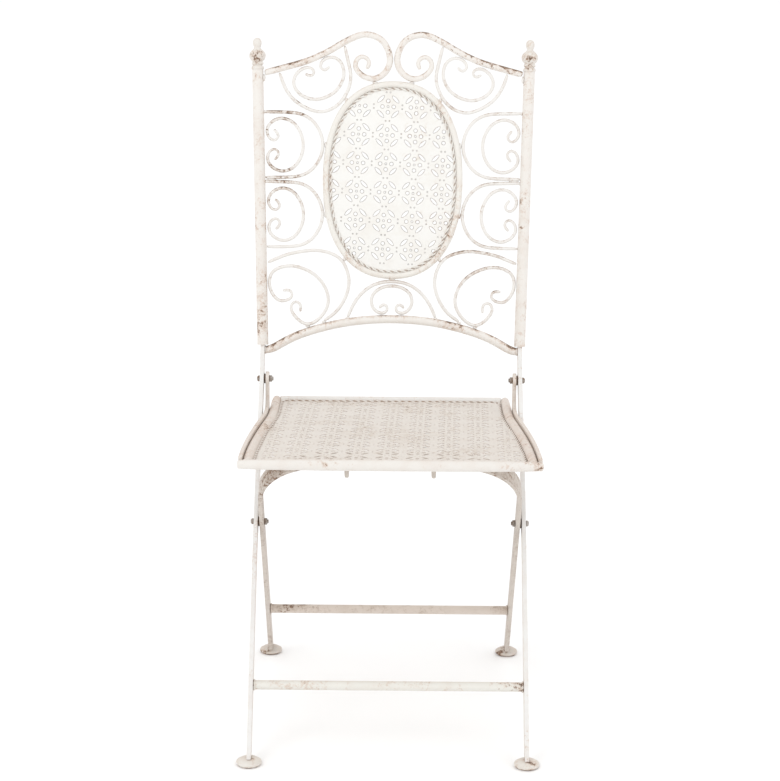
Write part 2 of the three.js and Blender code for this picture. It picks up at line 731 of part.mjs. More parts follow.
const scrolls = [
  ['scroll_top_bow', topBow(), 15],
  ['scroll_top_curl', topCurl(), 25],
  ['scroll_upper_bow', sideBow(OVAL_CENTRE + D_MIDDLE, 1), 13],
  ['scroll_upper_curl', sideCurl(OVAL_CENTRE + D_MIDDLE), 21],
  ['scroll_lower_bow', sideBow(OVAL_CENTRE - D_MIDDLE, 1), 13],
  ['scroll_lower_curl', sideCurl(OVAL_CENTRE - D_MIDDLE), 21],
  ['scroll_bottom_bow', bottomBow(), 15],
  ['scroll_bottom_curl', bottomCurl(), 28],
];
for (const [name, through, steps] of scrolls) {
  const path = smooth(through, steps);
  for (const [word, side] of sides) {
    const geometry = sweep(side < 0 ? path : mirrorX(path), SCROLL_RADIUS, SCROLL_SIDES);
    back.add(piece(`${name}_${word}`, geometry, 'cream'));
  }
}
back.add(piece('centre_arch', sweep(smooth(centreArch(), 12), SCROLL_RADIUS, SCROLL_SIDES), 'cream'));
back.add(piece('centre_curl', sweep(smooth(centreCurl(), 25), SCROLL_RADIUS, SCROLL_SIDES), 'cream'));

// The seat frame hangs from the seat pivot. Its own y runs to the rear and its z square to the seat.
const seat = new THREE.Group();
seat.position.set(0, seatPivot[0], seatPivot[1]);
seat.rotation.x = -seatTilt;
chair.add(seat);

// Half width of the arm's middle plane: straight beside the pivot, then flaring to the front
function armHalf(y) {
  const span = -SEAT_FRONT_REACH - ARM_FLARE_START;
  const share = Math.min(Math.max((y - ARM_FLARE_START) / span, 0), 1);
  return ARM_HALF_AT_PIVOT + (ARM_HALF_AT_FRONT - ARM_HALF_AT_PIVOT) * Math.sin(share * Math.PI / 2);
}

const frontRailBack = -SEAT_FRONT_REACH + SEAT_FRONT_RAIL_RADIUS + GAP;
const railInset = ARM_THICKNESS / 2 + GAP + SEAT_SIDE_RAIL_RADIUS;
const sideRailHalf = (y) => armHalf(y) - railInset;

// Seat rails: a straight tube in front, bowed tubes at the sides and a straight one behind
const frontRailHalf = SEAT_FRONT_RAIL_LENGTH / 2;
const FRONT_RAIL_ROUND = 3;
const frontRail = turned([
  [0, 0], [SEAT_FRONT_RAIL_RADIUS - FRONT_RAIL_ROUND, 0], [SEAT_FRONT_RAIL_RADIUS, FRONT_RAIL_ROUND],
  [SEAT_FRONT_RAIL_RADIUS, SEAT_FRONT_RAIL_LENGTH - FRONT_RAIL_ROUND],
  [SEAT_FRONT_RAIL_RADIUS - FRONT_RAIL_ROUND, SEAT_FRONT_RAIL_LENGTH], [0, SEAT_FRONT_RAIL_LENGTH],
], ROUND_SIDES);
frontRail.rotateY(Math.PI / 2);
frontRail.translate(-frontRailHalf, -SEAT_FRONT_REACH, -SEAT_DROP);
seat.add(piece('seat_front_rail', frontRail, 'cream'));

// Places along the seat's sides, closer where the frame flares
const flareSteps = 9;
const flareStations = [];
for (let k = 0; k <= flareSteps; k += 1) {
  flareStations.push(frontRailBack + (ARM_FLARE_START - frontRailBack) * k / flareSteps);
}

const SIDE_RAIL_PAST = 8;
const sideRailTo = SEAT_REAR_REACH + SIDE_RAIL_PAST;
for (const [word, side] of sides) {
  const places = flareStations.concat([SEAT_REAR_REACH, sideRailTo]);
  const path = places.map((y) => [side * sideRailHalf(y), y]);
  const rail = sweep(path, SEAT_SIDE_RAIL_RADIUS, RAIL_SIDES, { tip: SEAT_SIDE_RAIL_RADIUS - 2, tipFrom: 0.92 });
  layFlat(rail);
  seat.add(piece(`seat_side_rail_${word}`, rail, 'cream'));
}

// Turns a sweep from the x-z plane into the seat's x-y plane at the rails' level
function layFlat(geometry) {
  geometry.rotateX(-Math.PI / 2);
  geometry.translate(0, 0, -SEAT_DROP);
}

const rearRailHalf = sideRailHalf(SEAT_REAR_REACH) - SEAT_SIDE_RAIL_RADIUS - GAP;
const rearRail = hollowTube(SEAT_REAR_RAIL_RADIUS, RUNG_WALL, 2 * rearRailHalf, ROUND_SIDES);
rearRail.rotateY(Math.PI / 2);
rearRail.translate(-rearRailHalf, SEAT_REAR_REACH, -SEAT_DROP);
seat.add(piece('seat_rear_rail', rearRail, 'cream'));

// Arms: flat straps outside the side rails that turn up at the rear to an eye at the pivot
function armEdges() {
  const half = ARM_WIDTH / 2;
  const front = [];
  const rear = [];
  const heel = -20;
  for (const y of flareStations.concat([heel])) {
    front.push([y, -SEAT_DROP + half]);
    rear.push([y, -SEAT_DROP - half]);
  }
  front.push([-12, -SEAT_DROP + half + 4], [-9, -SEAT_DROP + half + 12], [-8, -4]);
  rear.push([4, -SEAT_DROP - half + 2], [9, -SEAT_DROP + half], [8, -4]);
  return [front, rear];
}

for (const [word, side] of sides) {
  const [front, rear] = armEdges();
  const middle = side * ARM_HALF_AT_PIVOT;
  let arm = toSolid(flatBar(front, rear, ARM_THICKNESS, (y) => armHalf(y), side));
  arm = arm.add(toSolid(crossDisc(ARM_EYE_RADIUS, ARM_THICKNESS, middle, 0, 0)));
  arm = arm.subtract(boltHole(middle, 0, 0));
  seat.add(piece(`seat_arm_${word}`, fromSolid(arm), 'cream'));
}

// Twisted wire inside the rails, and the punched seat sheet inside the wire
function seatLoop(inset, corner) {
  const frontY = frontRailBack + inset;
  const rearY = SEAT_REAR_REACH - SEAT_REAR_RAIL_RADIUS - GAP - inset;
  const loop = [];
  const count = 16;
  for (let k = 0; k <= count; k += 1) {
    const y = frontY + corner + (rearY - frontY - 2 * corner) * k / count;
    loop.push([sideRailHalf(y) - SEAT_SIDE_RAIL_RADIUS - GAP - inset, y]);
  }
  const right = loop.slice();
  const rearX = right[count][0];
  const frontX = right[0][0];
  right.push([rearX - corner * 0.29, rearY - corner * 0.29], [rearX - corner, rearY]);
  right.unshift([frontX - corner, frontY], [frontX - corner * 0.29, frontY + corner * 0.29]);
  return right.concat(mirrorX(right).reverse());
}

const SEAT_ROPE_CORNER = 8;
const SEAT_SHEET_CORNER = 14;
const seatRopeInset = ropeReach;
const seatSheetInset = seatRopeInset + ropeReach + GAP;
const seatRopeLoop = seatLoop(seatRopeInset, SEAT_ROPE_CORNER);
const seatRopeTurns = Math.round(loopLength(seatRopeLoop) / SEAT_ROPE_PITCH);
const seatRope = sweep(evenLoop(seatRopeLoop, 4 * seatRopeTurns), ROPE_RADIUS, 4,
  { closed: true, turns: seatRopeTurns });
layFlat(seatRope);
seat.add(piece('seat_rope', seatRope, 'sand'));

const seatOutline = seatLoop(seatSheetInset, SEAT_SHEET_CORNER);
const SEAT_HOLE = 22;
const seatMiddle = (SEAT_REAR_REACH - SEAT_FRONT_REACH) / 2;

function insideSeat(x, y, margin) {
  const inset = seatSheetInset + margin;
  const frontY = frontRailBack + inset;
  const rearY = SEAT_REAR_REACH - SEAT_REAR_RAIL_RADIUS - GAP - inset;
  return y > frontY && y < rearY && Math.abs(x) < sideRailHalf(y) - SEAT_SIDE_RAIL_RADIUS - GAP - inset;
}

const seatCuts = [];
for (const [x, y] of rosetteCentres(ARM_HALF_AT_FRONT, SEAT_FRONT_REACH / 2 + SEAT_REAR_REACH, 0, 0)) {
  const cut = slotPath(x, y + seatMiddle, rad(ROSETTE_TURN_DEG), SEAT_HOLE, SEAT_HOLE);
  if (cut.every(([u, v]) => insideSeat(u, v, SHEET_MARGIN))) {
    seatCuts.push(cut);
  }
}
const seatSheet = punchedSheet(seatOutline, seatCuts);
seatSheet.translate(0, 0, -SEAT_DROP);
seat.add(piece('seat_sheet', seatSheet, 'sand'));

// Two rods under the sheet carry it on the bow. A short peg on each stops the bow from sliding forward.
const rodZ = -SEAT_DROP - ROPE_RADIUS - GAP - SEAT_ROD_RADIUS;
const rodTop = rodZ + SEAT_ROD_RADIUS + SEAT_DROP;
const rodRear = SEAT_REAR_REACH - Math.sqrt(SEAT_REAR_RAIL_RADIUS ** 2 - rodTop ** 2) - GAP;
const rodFront = -SEAT_FRONT_REACH + Math.sqrt(SEAT_FRONT_RAIL_RADIUS ** 2 - rodTop ** 2) + GAP;

// The bow's place along the rear legs follows from the seat's underside
const legUp = [-Math.sin(rearLean), Math.cos(rearLean)];
const legBack = [Math.cos(rearLean), Math.sin(rearLean)];
const seatUp = [Math.sin(seatTilt), Math.cos(seatTilt)];
const seatBack = [Math.cos(seatTilt), -Math.sin(seatTilt)];
const dot = (a, b) => a[0] * b[0] + a[1] * b[1];
const bowExtent = (axis) => Math.abs(dot(legBack, axis)) * BOW_WIDTH / 2
  + Math.abs(dot(legUp, axis)) * BOW_THICKNESS / 2;
const pivotApart = [crossPivot[0] - seatPivot[0], crossPivot[1] - seatPivot[1]];
const bowLevel = rodZ - SEAT_ROD_RADIUS - SLIDE_PLAY - bowExtent(seatUp);
const bowTop = (bowLevel - dot(pivotApart, seatUp)) / dot(legUp, seatUp);
const bowSeatY = dot(pivotApart, seatBack) + bowTop * dot(legUp, seatBack);
const pegY = bowSeatY - bowExtent(seatBack) - SLIDE_PLAY - SEAT_ROD_RADIUS;

for (const [word, side] of sides) {
  const rod = turned([[0, 0], [SEAT_ROD_RADIUS, 0], [SEAT_ROD_RADIUS, rodRear - rodFront],
    [0, rodRear - rodFront]], FASTENER_SIDES);
  rod.rotateX(-Math.PI / 2);
  rod.translate(side * SEAT_ROD_X, rodFront, rodZ);
  const peg = turned([[0, -STOP_PEG_LENGTH], [SEAT_ROD_RADIUS - 1, -STOP_PEG_LENGTH],
    [SEAT_ROD_RADIUS, 1.5 - STOP_PEG_LENGTH], [SEAT_ROD_RADIUS, 0], [0, 0]], FASTENER_SIDES);
  peg.translate(side * SEAT_ROD_X, pegY, rodZ);
  const joined = toSolid(rod).add(toSolid(peg));
  seat.add(piece(`seat_rod_${word}`, fromSolid(joined), 'taupe'));
}

// Rear legs: one flat bar bent into a bow that crosses under the seat, turning at the crossing pivot
const legs = new THREE.Group();
legs.position.set(0, crossPivot[0], crossPivot[1]);
legs.rotation.x = rearLean;
chair.add(legs);

const CROSS_PIVOT_CLEAR = 3.3;
const bowHalf = CROSS_PIVOT_HALF - BAR_THICKNESS / 2 - CROSS_PIVOT_CLEAR - BOW_THICKNESS / 2;
const legLength = CROSS_PIVOT_HEIGHT / Math.cos(rearLean);

function bowSide(offset) {
  const half = bowHalf + offset;
  const radius = BOW_BEND_RADIUS + offset;
  const foot = REAR_FOOT_HALF + offset;
  const points = [[-foot, -legLength], [-half, 0]];
  const steps = 8;
  for (let k = 0; k <= steps; k += 1) {
    const a = Math.PI - (Math.PI / 2) * k / steps;
    points.push([
      -bowHalf + BOW_BEND_RADIUS + radius * Math.cos(a),
      bowTop - BOW_BEND_RADIUS + radius * Math.sin(a),
    ]);
  }
  return points.concat(mirrorX(points).reverse());
}

const outerBow = bowSide(BOW_THICKNESS / 2);
const innerBow = bowSide(-BOW_THICKNESS / 2).reverse();
const bowShape = new THREE.Shape(outerBow.concat(innerBow).map(([x, z]) => new THREE.Vector2(x, z)));
const bow = new THREE.ExtrudeGeometry(bowShape, { depth: BOW_WIDTH, bevelEnabled: false });
bow.translate(0, 0, -BOW_WIDTH / 2);
bow.rotateX(Math.PI / 2);
const bowPlace = bow.attributes.position;
const legCut = FOOT_THICKNESS + GAP - CROSS_PIVOT_HEIGHT;
for (let i = 0; i < bowPlace.count; i += 1) {
  if (bowPlace.getZ(i) < -legLength / 2) {
    const y = bowPlace.getY(i);
    bowPlace.setZ(i, (legCut - y * Math.sin(rearLean)) / Math.cos(rearLean));
  }
}
let bowSolid = toSolid(bow);
for (const [, side] of sides) {
  bowSolid = bowSolid.subtract(boltHole(side * bowHalf, 0, 0));
}
legs.add(piece('rear_bow', fromSolid(bowSolid), 'taupe'));

const rearRungZ = (REAR_RUNG_HEIGHT - CROSS_PIVOT_HEIGHT) / Math.cos(rearLean);
const rearRungShare = -rearRungZ / legLength;
const rearRungHalf = bowHalf + (REAR_FOOT_HALF - bowHalf) * rearRungShare - BOW_THICKNESS / 2 - GAP;
const rearRung = hollowTube(RUNG_RADIUS, RUNG_WALL, 2 * rearRungHalf, ROUND_SIDES);
rearRung.rotateY(Math.PI / 2);
rearRung.translate(-rearRungHalf, 0, rearRungZ);
legs.add(piece('rear_rung', rearRung, 'cream'));

// Pivot bolts with a domed head outside, a washer between the bars and a hexagon nut inside
function pivotBolt(outer, inner) {
  const reach = outer - inner;
  const body = turned([
    [0, -BOLT_TIP - NUT_HEIGHT], [BOLT_RADIUS, -BOLT_TIP - NUT_HEIGHT], [BOLT_RADIUS, reach],
    [BOLT_HEAD_RADIUS, reach], [BOLT_HEAD_RADIUS, reach + BOLT_HEAD_HEIGHT * 0.5],
    [BOLT_HEAD_RADIUS * 0.6, reach + BOLT_HEAD_HEIGHT], [0, reach + BOLT_HEAD_HEIGHT],
  ], FASTENER_SIDES);
  const nut = turned([[0, -NUT_HEIGHT], [NUT_RADIUS, -NUT_HEIGHT], [NUT_RADIUS, 0], [0, 0]], 6);
  const joined = fromSolid(toSolid(body).add(toSolid(nut)));
  joined.rotateY(Math.PI / 2);
  joined.translate(inner, 0, 0);
  return joined;
}

const pivots = [
  ['cross_pivot', crossPivot, CROSS_PIVOT_HALF, bowHalf, BOW_THICKNESS],
  ['seat_pivot', seatPivot, SEAT_PIVOT_HALF, ARM_HALF_AT_PIVOT, ARM_THICKNESS],
];
for (const [name, at, barMiddle, linkMiddle, linkThickness] of pivots) {
  const outer = barMiddle + BAR_THICKNESS / 2 + GAP;
  const inner = linkMiddle - linkThickness / 2 - GAP;
  const washerFrom = linkMiddle + linkThickness / 2 + GAP;
  const washerTo = barMiddle - BAR_THICKNESS / 2 - 1.5 * GAP;
  for (const [word, side] of sides) {
    const bolt = piece(`${name}_bolt_${word}`, pivotBolt(outer, inner), 'iron');
    bolt.position.set(0, at[0], at[1]);
    bolt.rotation.z = side < 0 ? Math.PI : 0;
    chair.add(bolt);
    const ring = turned([
      [BOLT_HOLE_RADIUS, 0], [WASHER_RADIUS, 0], [WASHER_RADIUS, washerTo - washerFrom],
      [BOLT_HOLE_RADIUS, washerTo - washerFrom], [BOLT_HOLE_RADIUS, 0],
    ], FASTENER_SIDES);
    ring.rotateY(Math.PI / 2);
    ring.translate(washerFrom, 0, 0);
    const washer = piece(`${name}_washer_${word}`, ring, 'iron');
    washer.position.set(0, at[0], at[1]);
    washer.rotation.z = side < 0 ? Math.PI : 0;
    chair.add(washer);
  }
}

// The middle of the chair's depth comes over the origin
const group = new THREE.Group();
group.add(chair);
group.updateMatrixWorld(true);
const box = new THREE.Box3().setFromObject(group, true);
chair.position.y = -(box.min.y + box.max.y) / 2;
group.updateMatrixWorld(true);

export default group;
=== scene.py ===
import math

import bpy
from mathutils import Matrix, Vector


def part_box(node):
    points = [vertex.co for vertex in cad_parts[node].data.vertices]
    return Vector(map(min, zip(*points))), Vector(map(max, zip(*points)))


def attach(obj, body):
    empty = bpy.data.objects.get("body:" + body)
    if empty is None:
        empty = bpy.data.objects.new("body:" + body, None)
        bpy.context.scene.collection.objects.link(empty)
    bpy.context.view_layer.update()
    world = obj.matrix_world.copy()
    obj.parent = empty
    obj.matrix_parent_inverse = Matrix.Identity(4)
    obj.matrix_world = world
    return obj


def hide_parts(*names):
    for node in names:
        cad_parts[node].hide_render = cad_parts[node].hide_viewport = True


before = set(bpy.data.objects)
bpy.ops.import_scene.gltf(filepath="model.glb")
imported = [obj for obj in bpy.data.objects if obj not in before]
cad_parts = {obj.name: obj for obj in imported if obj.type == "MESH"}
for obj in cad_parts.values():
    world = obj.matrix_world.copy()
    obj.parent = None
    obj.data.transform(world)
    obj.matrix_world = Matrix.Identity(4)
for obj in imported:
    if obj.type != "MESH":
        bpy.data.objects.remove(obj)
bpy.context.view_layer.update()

# The camera stands in front of the chair and looks down a little, through a long lens.
# Its place, tilt and small roll were fitted to the feet, pivots, rails and finials of the photograph.
CAMERA_PLACE = (-0.0013, -3.1327, 1.3366)
CAMERA_TILT = math.radians(74.9)
CAMERA_ROLL = math.radians(0.48)
CAMERA_LENS = 104.0
FILM_WIDTH = 36.0
camera_data = bpy.data.cameras.new("camera")
camera_data.sensor_fit = "HORIZONTAL"
camera_data.sensor_width = FILM_WIDTH
camera_data.lens = CAMERA_LENS
camera = bpy.data.objects.new("camera", camera_data)
bpy.context.scene.collection.objects.link(camera)
camera.matrix_world = (
    Matrix.Translation(CAMERA_PLACE)
    @ Matrix.Rotation(CAMERA_TILT, 4, "X")
    @ Matrix.Rotation(CAMERA_ROLL, 4, "Z")
)
bpy.context.scene.camera = camera


# The studio is a wide white floor under an even white surround, as in a catalogue picture.
# A large soft light in front on the left and a weaker one on the right give the round bars some shape.
class Amount:
    """A value in a finish. Arithmetic on it adds Math nodes to the finish's material."""

    def __init__(self, finish, socket):
        self.finish = finish
        self.socket = socket

    def worked(self, operation, first, second=0.0):
        return self.finish.node("ShaderNodeMath", {0: first, 1: second}, operation=operation)

    def __add__(self, other):
        return self.worked("ADD", self, other)

    def __radd__(self, other):
        return self.worked("ADD", other, self)

    def __sub__(self, other):
        return self.worked("SUBTRACT", self, other)

    def __rsub__(self, other):
        return self.worked("SUBTRACT", other, self)

    def __mul__(self, other):
        return self.worked("MULTIPLY", self, other)

    def __abs__(self):
        return self.worked("ABSOLUTE", self)

    def rise(self, low, high):
        """Goes softly from 0 to 1 as the value goes from low to high."""
        return self.finish.node(
            "ShaderNodeMapRange",
            {"Value": self, "From Min": low, "From Max": high},
            interpolation_type="SMOOTHSTEP",
        )


class Finish:
    """A material under its piece's name, with one method that adds any node to it."""

    def __init__(self, name):
        self.material = bpy.data.materials.new(name)
        self.material.use_nodes = True
        self.tree = self.material.node_tree
        self.shader = self.tree.nodes["Principled BSDF"]

    def node(self, kind, feeds, out=0, **settings):
        made = self.tree.nodes.new(kind)
        for setting, value in settings.items():
            setattr(made, setting, value)
        for socket, value in feeds.items():
            self.feed(made.inputs[socket], value)
        return Amount(self, made.outputs[out])

    def feed(self, socket, value):
        if isinstance(value, Amount):
            self.tree.links.new(value.socket, socket)
        else:
            socket.default_value = value

    def mixed(self, share, first, second):
        """One colour turning into another as the share goes from 0 to 1."""
        return self.node(
            "ShaderNodeMix", {0: share, 6: first, 7: second}, out=2, data_type="RGBA"
        )

    def grain(self, place, scale, detail, roughness=0.5, distortion=0.0):
        return self.node(
            "ShaderNodeTexNoise",
            {
                "Vector": place,
                "Scale": scale,
                "Detail": detail,
                "Roughness": roughness,
                "Distortion": distortion,
            },
        )


FLOOR_SIZE = 60.0
FLOOR_WHITE = (0.97, 0.97, 0.97, 1.0)
FLOOR_ROUGHNESS = 0.9
SURROUND_WHITE = (1.0, 1.0, 1.0, 1.0)
SURROUND_STRENGTH = 1.06
bpy.ops.mesh.primitive_plane_add(size=FLOOR_SIZE)
floor = bpy.context.active_object
floor.name = "studio_floor"
floor_finish = Finish("studio_floor")
floor_finish.feed(floor_finish.shader.inputs["Base Color"], FLOOR_WHITE)
floor_finish.feed(floor_finish.shader.inputs["Roughness"], FLOOR_ROUGHNESS)
floor.data.materials.append(floor_finish.material)

surround = bpy.data.worlds.new("surround")
surround.use_nodes = True
surround.node_tree.nodes["Background"].inputs["Color"].default_value = SURROUND_WHITE
surround.node_tree.nodes["Background"].inputs["Strength"].default_value = SURROUND_STRENGTH
bpy.context.scene.world = surround
bpy.context.scene.view_settings.view_transform = "Standard"

LIGHT_AIM = Vector((0.0, 0.0, 0.5))
SOFT_LIGHTS = [
    ("soft_light_left", (-2.2, -2.6, 3.0), 2.0, 26.0),
    ("soft_light_right", (2.6, -1.6, 2.2), 2.0, 8.0),
]
for light_name, light_place, light_size, light_power in SOFT_LIGHTS:
    light_data = bpy.data.lights.new(light_name, "AREA")
    light_data.size = light_size
    light_data.energy = light_power
    light = bpy.data.objects.new(light_name, light_data)
    bpy.context.scene.collection.objects.link(light)
    aim = LIGHT_AIM - Vector(light_place)
    light.matrix_world = (
        Matrix.Translation(light_place) @ aim.to_track_quat("-Z", "Y").to_matrix().to_4x4()
    )


# The long bars are flat iron straps: front legs that run up past the seat and bend into the back.
# Old cream paint on them is brushed thin, has gone tan in places and is rubbed to iron on the corners.
def alone(piece):
    """Leaves only this piece selected, and active."""
    bpy.ops.object.select_all(action="DESELECT")
    piece.select_set(True)
    bpy.context.view_layer.objects.active = piece


MERGE_REACH = 0.00001
FLAT_TURN = math.radians(40)
SMOOTH_TURN = math.radians(38)
LATHE_TURN = math.radians(50)


def forged(node, name, swell=0.0, rounds=2, corners=None, edge=0.0):
    """A detailed copy of a solid. Its facets are rounded off, apart from corners sharper than the
    given degrees, which stay and get a worn edge of the given width."""
    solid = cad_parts[node]
    piece = bpy.data.objects.new(name, solid.data.copy())
    piece.data.name = name
    bpy.context.scene.collection.objects.link(piece)
    alone(piece)
    bpy.ops.object.mode_set(mode="EDIT")
    bpy.ops.mesh.select_mode(type="VERT")
    bpy.ops.mesh.select_all(action="SELECT")
    bpy.ops.mesh.remove_doubles(threshold=MERGE_REACH)
    bpy.ops.mesh.select_mode(type="FACE")
    bpy.ops.mesh.select_all(action="SELECT")
    bpy.ops.mesh.tris_convert_to_quads(face_threshold=FLAT_TURN, shape_threshold=FLAT_TURN)
    if swell:
        bpy.ops.mesh.select_all(action="SELECT")
        bpy.ops.transform.shrink_fatten(value=swell)
    if corners is not None:
        bpy.ops.mesh.select_mode(type="EDGE")
        bpy.ops.mesh.select_all(action="DESELECT")
        bpy.ops.mesh.edges_select_sharp(sharpness=math.radians(corners))
        bpy.ops.transform.edge_crease(value=1.0)
    bpy.ops.object.mode_set(mode="OBJECT")
    bpy.ops.object.modifier_add(type="SUBSURF")
    piece.modifiers["Subdivision"].levels = rounds
    piece.modifiers["Subdivision"].render_levels = rounds
    bpy.ops.object.modifier_apply(modifier="Subdivision")
    if edge:
        bpy.ops.object.modifier_add(type="BEVEL")
        bevel = piece.modifiers["Bevel"]
        bevel.width = edge
        bevel.segments = 2
        bevel.limit_method = "ANGLE"
        bevel.angle_limit = math.radians(corners)
        bpy.ops.object.modifier_apply(modifier="Bevel")
    bpy.ops.object.shade_smooth_by_angle(angle=SMOOTH_TURN)
    return piece


DRIFT_GRAIN = 11.0
CLOUD_GRAIN = 38.0
FLAKE_GRAIN = 95.0
RAGGED_GRAIN = 240.0
SPECK_GRAIN = 520.0
CREASE_REACH = 0.005
CORNER_REACH = 0.0018
FLAKE_DEPTH = 0.0003
IRON_DARK = (0.115, 0.075, 0.052, 1.0)
IRON_RUST = (0.30, 0.195, 0.135, 1.0)


def peeling_paint(name, coat, tan, worn, sides=0.0, upper=0.0, rubbed=0.0, creases=0.12, dirt_and_shade=0.3,
                  patchy=0.6, groove_rust_and_shade=0.0, tide=None, marks=()):
    """Old paint on iron, from coat through a tan underlayer to rusty metal. worn moves how much is
    gone, sides adds brown round the flanks as seen from the front, partly as wear and partly as painted
    shade along the outline, upper adds wear along the top, and rubbed wears the corners. creases gathers
    rust where pieces meet, and dirt darkens the paint there and in hollows, partly as grime and partly as
    painted shade. groove darkens the lay of a twisted wire in rust colour, partly as rust and partly as
    painted shade. patchy makes wear come in stretches, tide adds it between two heights, and each mark
    adds wear at a place: where it is, how far it reaches and how strong it is. The flanks as seen from
    the front are always tinted darker, as painted shade."""
    finish = Finish(name)
    place = finish.node("ShaderNodeTexCoord", {}, out="Object")
    drift = finish.grain(place, DRIFT_GRAIN, 3.0)
    flake = finish.grain(place, FLAKE_GRAIN, 8.0, 0.7, 0.5)
    speck = finish.grain(place, SPECK_GRAIN, 2.0)
    open_air = finish.node(
        "ShaderNodeAmbientOcclusion", {"Distance": CREASE_REACH}, samples=6, out="AO"
    )
    flank = finish.node("ShaderNodeTexCoord", {}, out="Normal")
    facing = abs(finish.node("ShaderNodeSeparateXYZ", {"Vector": flank}, out="Y"))
    flank_wear_and_shade = (1.0 - facing).rise(0.45, 1.0)
    hidden = 1.0 - open_air
    gone = flake + (drift - 0.5) * patchy + (speck - 0.5) * 0.4 + hidden * creases
    # Brown round the flanks as seen from the front: partly wear, partly painted shade along the outline.
    if sides:
        gone = gone + flank_wear_and_shade * sides
    if upper:
        upward = finish.node("ShaderNodeSeparateXYZ", {"Vector": flank}, out="Z")
        gone = gone + upward.rise(0.35, 0.95) * upper
    if rubbed:
        round_normal = finish.node("ShaderNodeBevel", {"Radius": CORNER_REACH}, samples=6)
        true_normal = finish.node("ShaderNodeNewGeometry", {}, out="True Normal")
        corner = 1.0 - finish.node(
            "ShaderNodeVectorMath", {0: round_normal, 1: true_normal}, out="Value", operation="DOT_PRODUCT"
        )
        gone = gone + corner.rise(0.02, 0.28) * rubbed
    if tide:
        height = finish.node("ShaderNodeSeparateXYZ", {"Vector": place}, out="Z")
        gone = gone + height.rise(tide[0], tide[1]) * tide[2]
    if marks:
        ragged = (finish.grain(place, RAGGED_GRAIN, 5.0, 0.7) - 0.5) * 4.0 + 1.0
    for spot, reach, weight in marks:
        away = finish.node(
            "ShaderNodeVectorMath", {0: place, 1: spot}, out="Value", operation="DISTANCE"
        )
        gone = gone + (away * ragged).rise(reach, reach * 0.25) * weight
    level = 0.86 - worn
    thin = gone.rise(level - 0.22, level + 0.01)
    bare = gone.rise(level, level + 0.045)
    cloud = finish.grain(place, CLOUD_GRAIN, 5.0, 0.65)
    between = [0.5 * (a + b) for a, b in zip(coat, tan)]
    grime_and_shade = [0.5 * shade for shade in tan[:3]] + [1.0]
    # The paint's tone varies in clouds, and the flanks as seen from the front are painted darker, as shade
    # along the outline.
    painted = finish.mixed(cloud.rise(0.4, 0.75) * 0.45 + flank_wear_and_shade * 0.5, coat, between)
    painted = finish.mixed(thin * 0.8, painted, tan)
    # Where pieces meet and in hollows the paint is darkened, partly as grime and partly as painted shade.
    painted = finish.mixed(hidden.rise(0.2, 0.75) * dirt_and_shade, painted, grime_and_shade)
    # The grooves of a twisted wire are painted darker in rust colour, partly as rust and partly as painted
    # shade.
    if groove_rust_and_shade:
        depth = finish.node("ShaderNodeAttribute", {}, out="Fac", attribute_name="depth")
        painted = finish.mixed(depth.rise(0.35 - 0.27 * groove_rust_and_shade, 0.5) * groove_rust_and_shade, painted, IRON_RUST)
    metal = finish.mixed(speck.rise(0.35, 0.65), IRON_DARK, IRON_RUST)
    finish.feed(finish.shader.inputs["Base Color"], finish.mixed(bare, painted, metal))
    finish.feed(finish.shader.inputs["Roughness"], 0.5 + bare * 0.33 + thin * 0.12)
    relief = (1.0 - bare) + (1.0 - thin) * 0.35 + flake * 0.5 + speck * 0.12
    bump = finish.node(
        "ShaderNodeBump", {"Height": relief, "Distance": FLAKE_DEPTH, "Strength": 0.7}
    )
    finish.feed(finish.shader.inputs["Normal"], bump)
    return finish.material


def finished(piece, material, body, node):
    """Gives a piece its one material, hangs it on the body it moves with, and hides the solid it stands
    for.
    """
    piece.data.materials.clear()
    piece.data.materials.append(material)
    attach(piece, body)
    if node:
        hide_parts(node)


TAN = (0.60, 0.475, 0.39, 1.0)
BAR_CREAM = (0.765, 0.757, 0.74, 1.0)
BAR_EDGE = 0.0008
bar_paint = peeling_paint("long_bar_paint", BAR_CREAM, TAN, 0.07, sides=0.03, rubbed=0.12)
for side in ("left", "right"):
    bar = forged(f"long_bar_{side}", f"strap_{side}", corners=45, edge=BAR_EDGE)
    finished(bar, bar_paint, "back_frame", f"long_bar_{side}")


# Tube rungs hold the legs apart, one between the front legs and one between the rear legs.
# They are pushed between the straps and welded all round. The rear one has lost most of its cream.
RUNG_SWELL = 0.00025
RUNG_RADIUS = 0.0068
RUNG_CREAM = (0.745, 0.73, 0.68, 1.0)
RUNG_TAN = (0.655, 0.575, 0.51, 1.0)
RUNG_STAIN = (0.46, 0.37, 0.30, 1.0)
RUNG_WELD_INSET = 0.0012
RUNG_WELD_SIZE = 0.0014
RUNG_WELD_UNEVEN = 0.0003
front_rung_paint = peeling_paint("front_rung_paint", RUNG_CREAM, TAN, 0.07, sides=0.02, marks=[
    ((0.160, -0.1520, 0.110), 0.016, 0.13), ((0.179, -0.1520, 0.110), 0.016, 0.16),
    ((-0.192, -0.150, 0.094), 0.010, 0.28), ((0.1885, -0.150, 0.0945), 0.010, 0.28),
    ((0.02, -0.15, 0.088), 0.06, 0.05),
])
rear_rung_paint = peeling_paint("rear_rung_paint", RUNG_TAN, RUNG_STAIN, 0.09, sides=0.04, marks=[
    ((-0.170, 0.134, 0.112), 0.03, 0.22), ((-0.142, 0.134, 0.111), 0.03, 0.18),
    ((0.168, 0.134, 0.104), 0.024, 0.16),
])


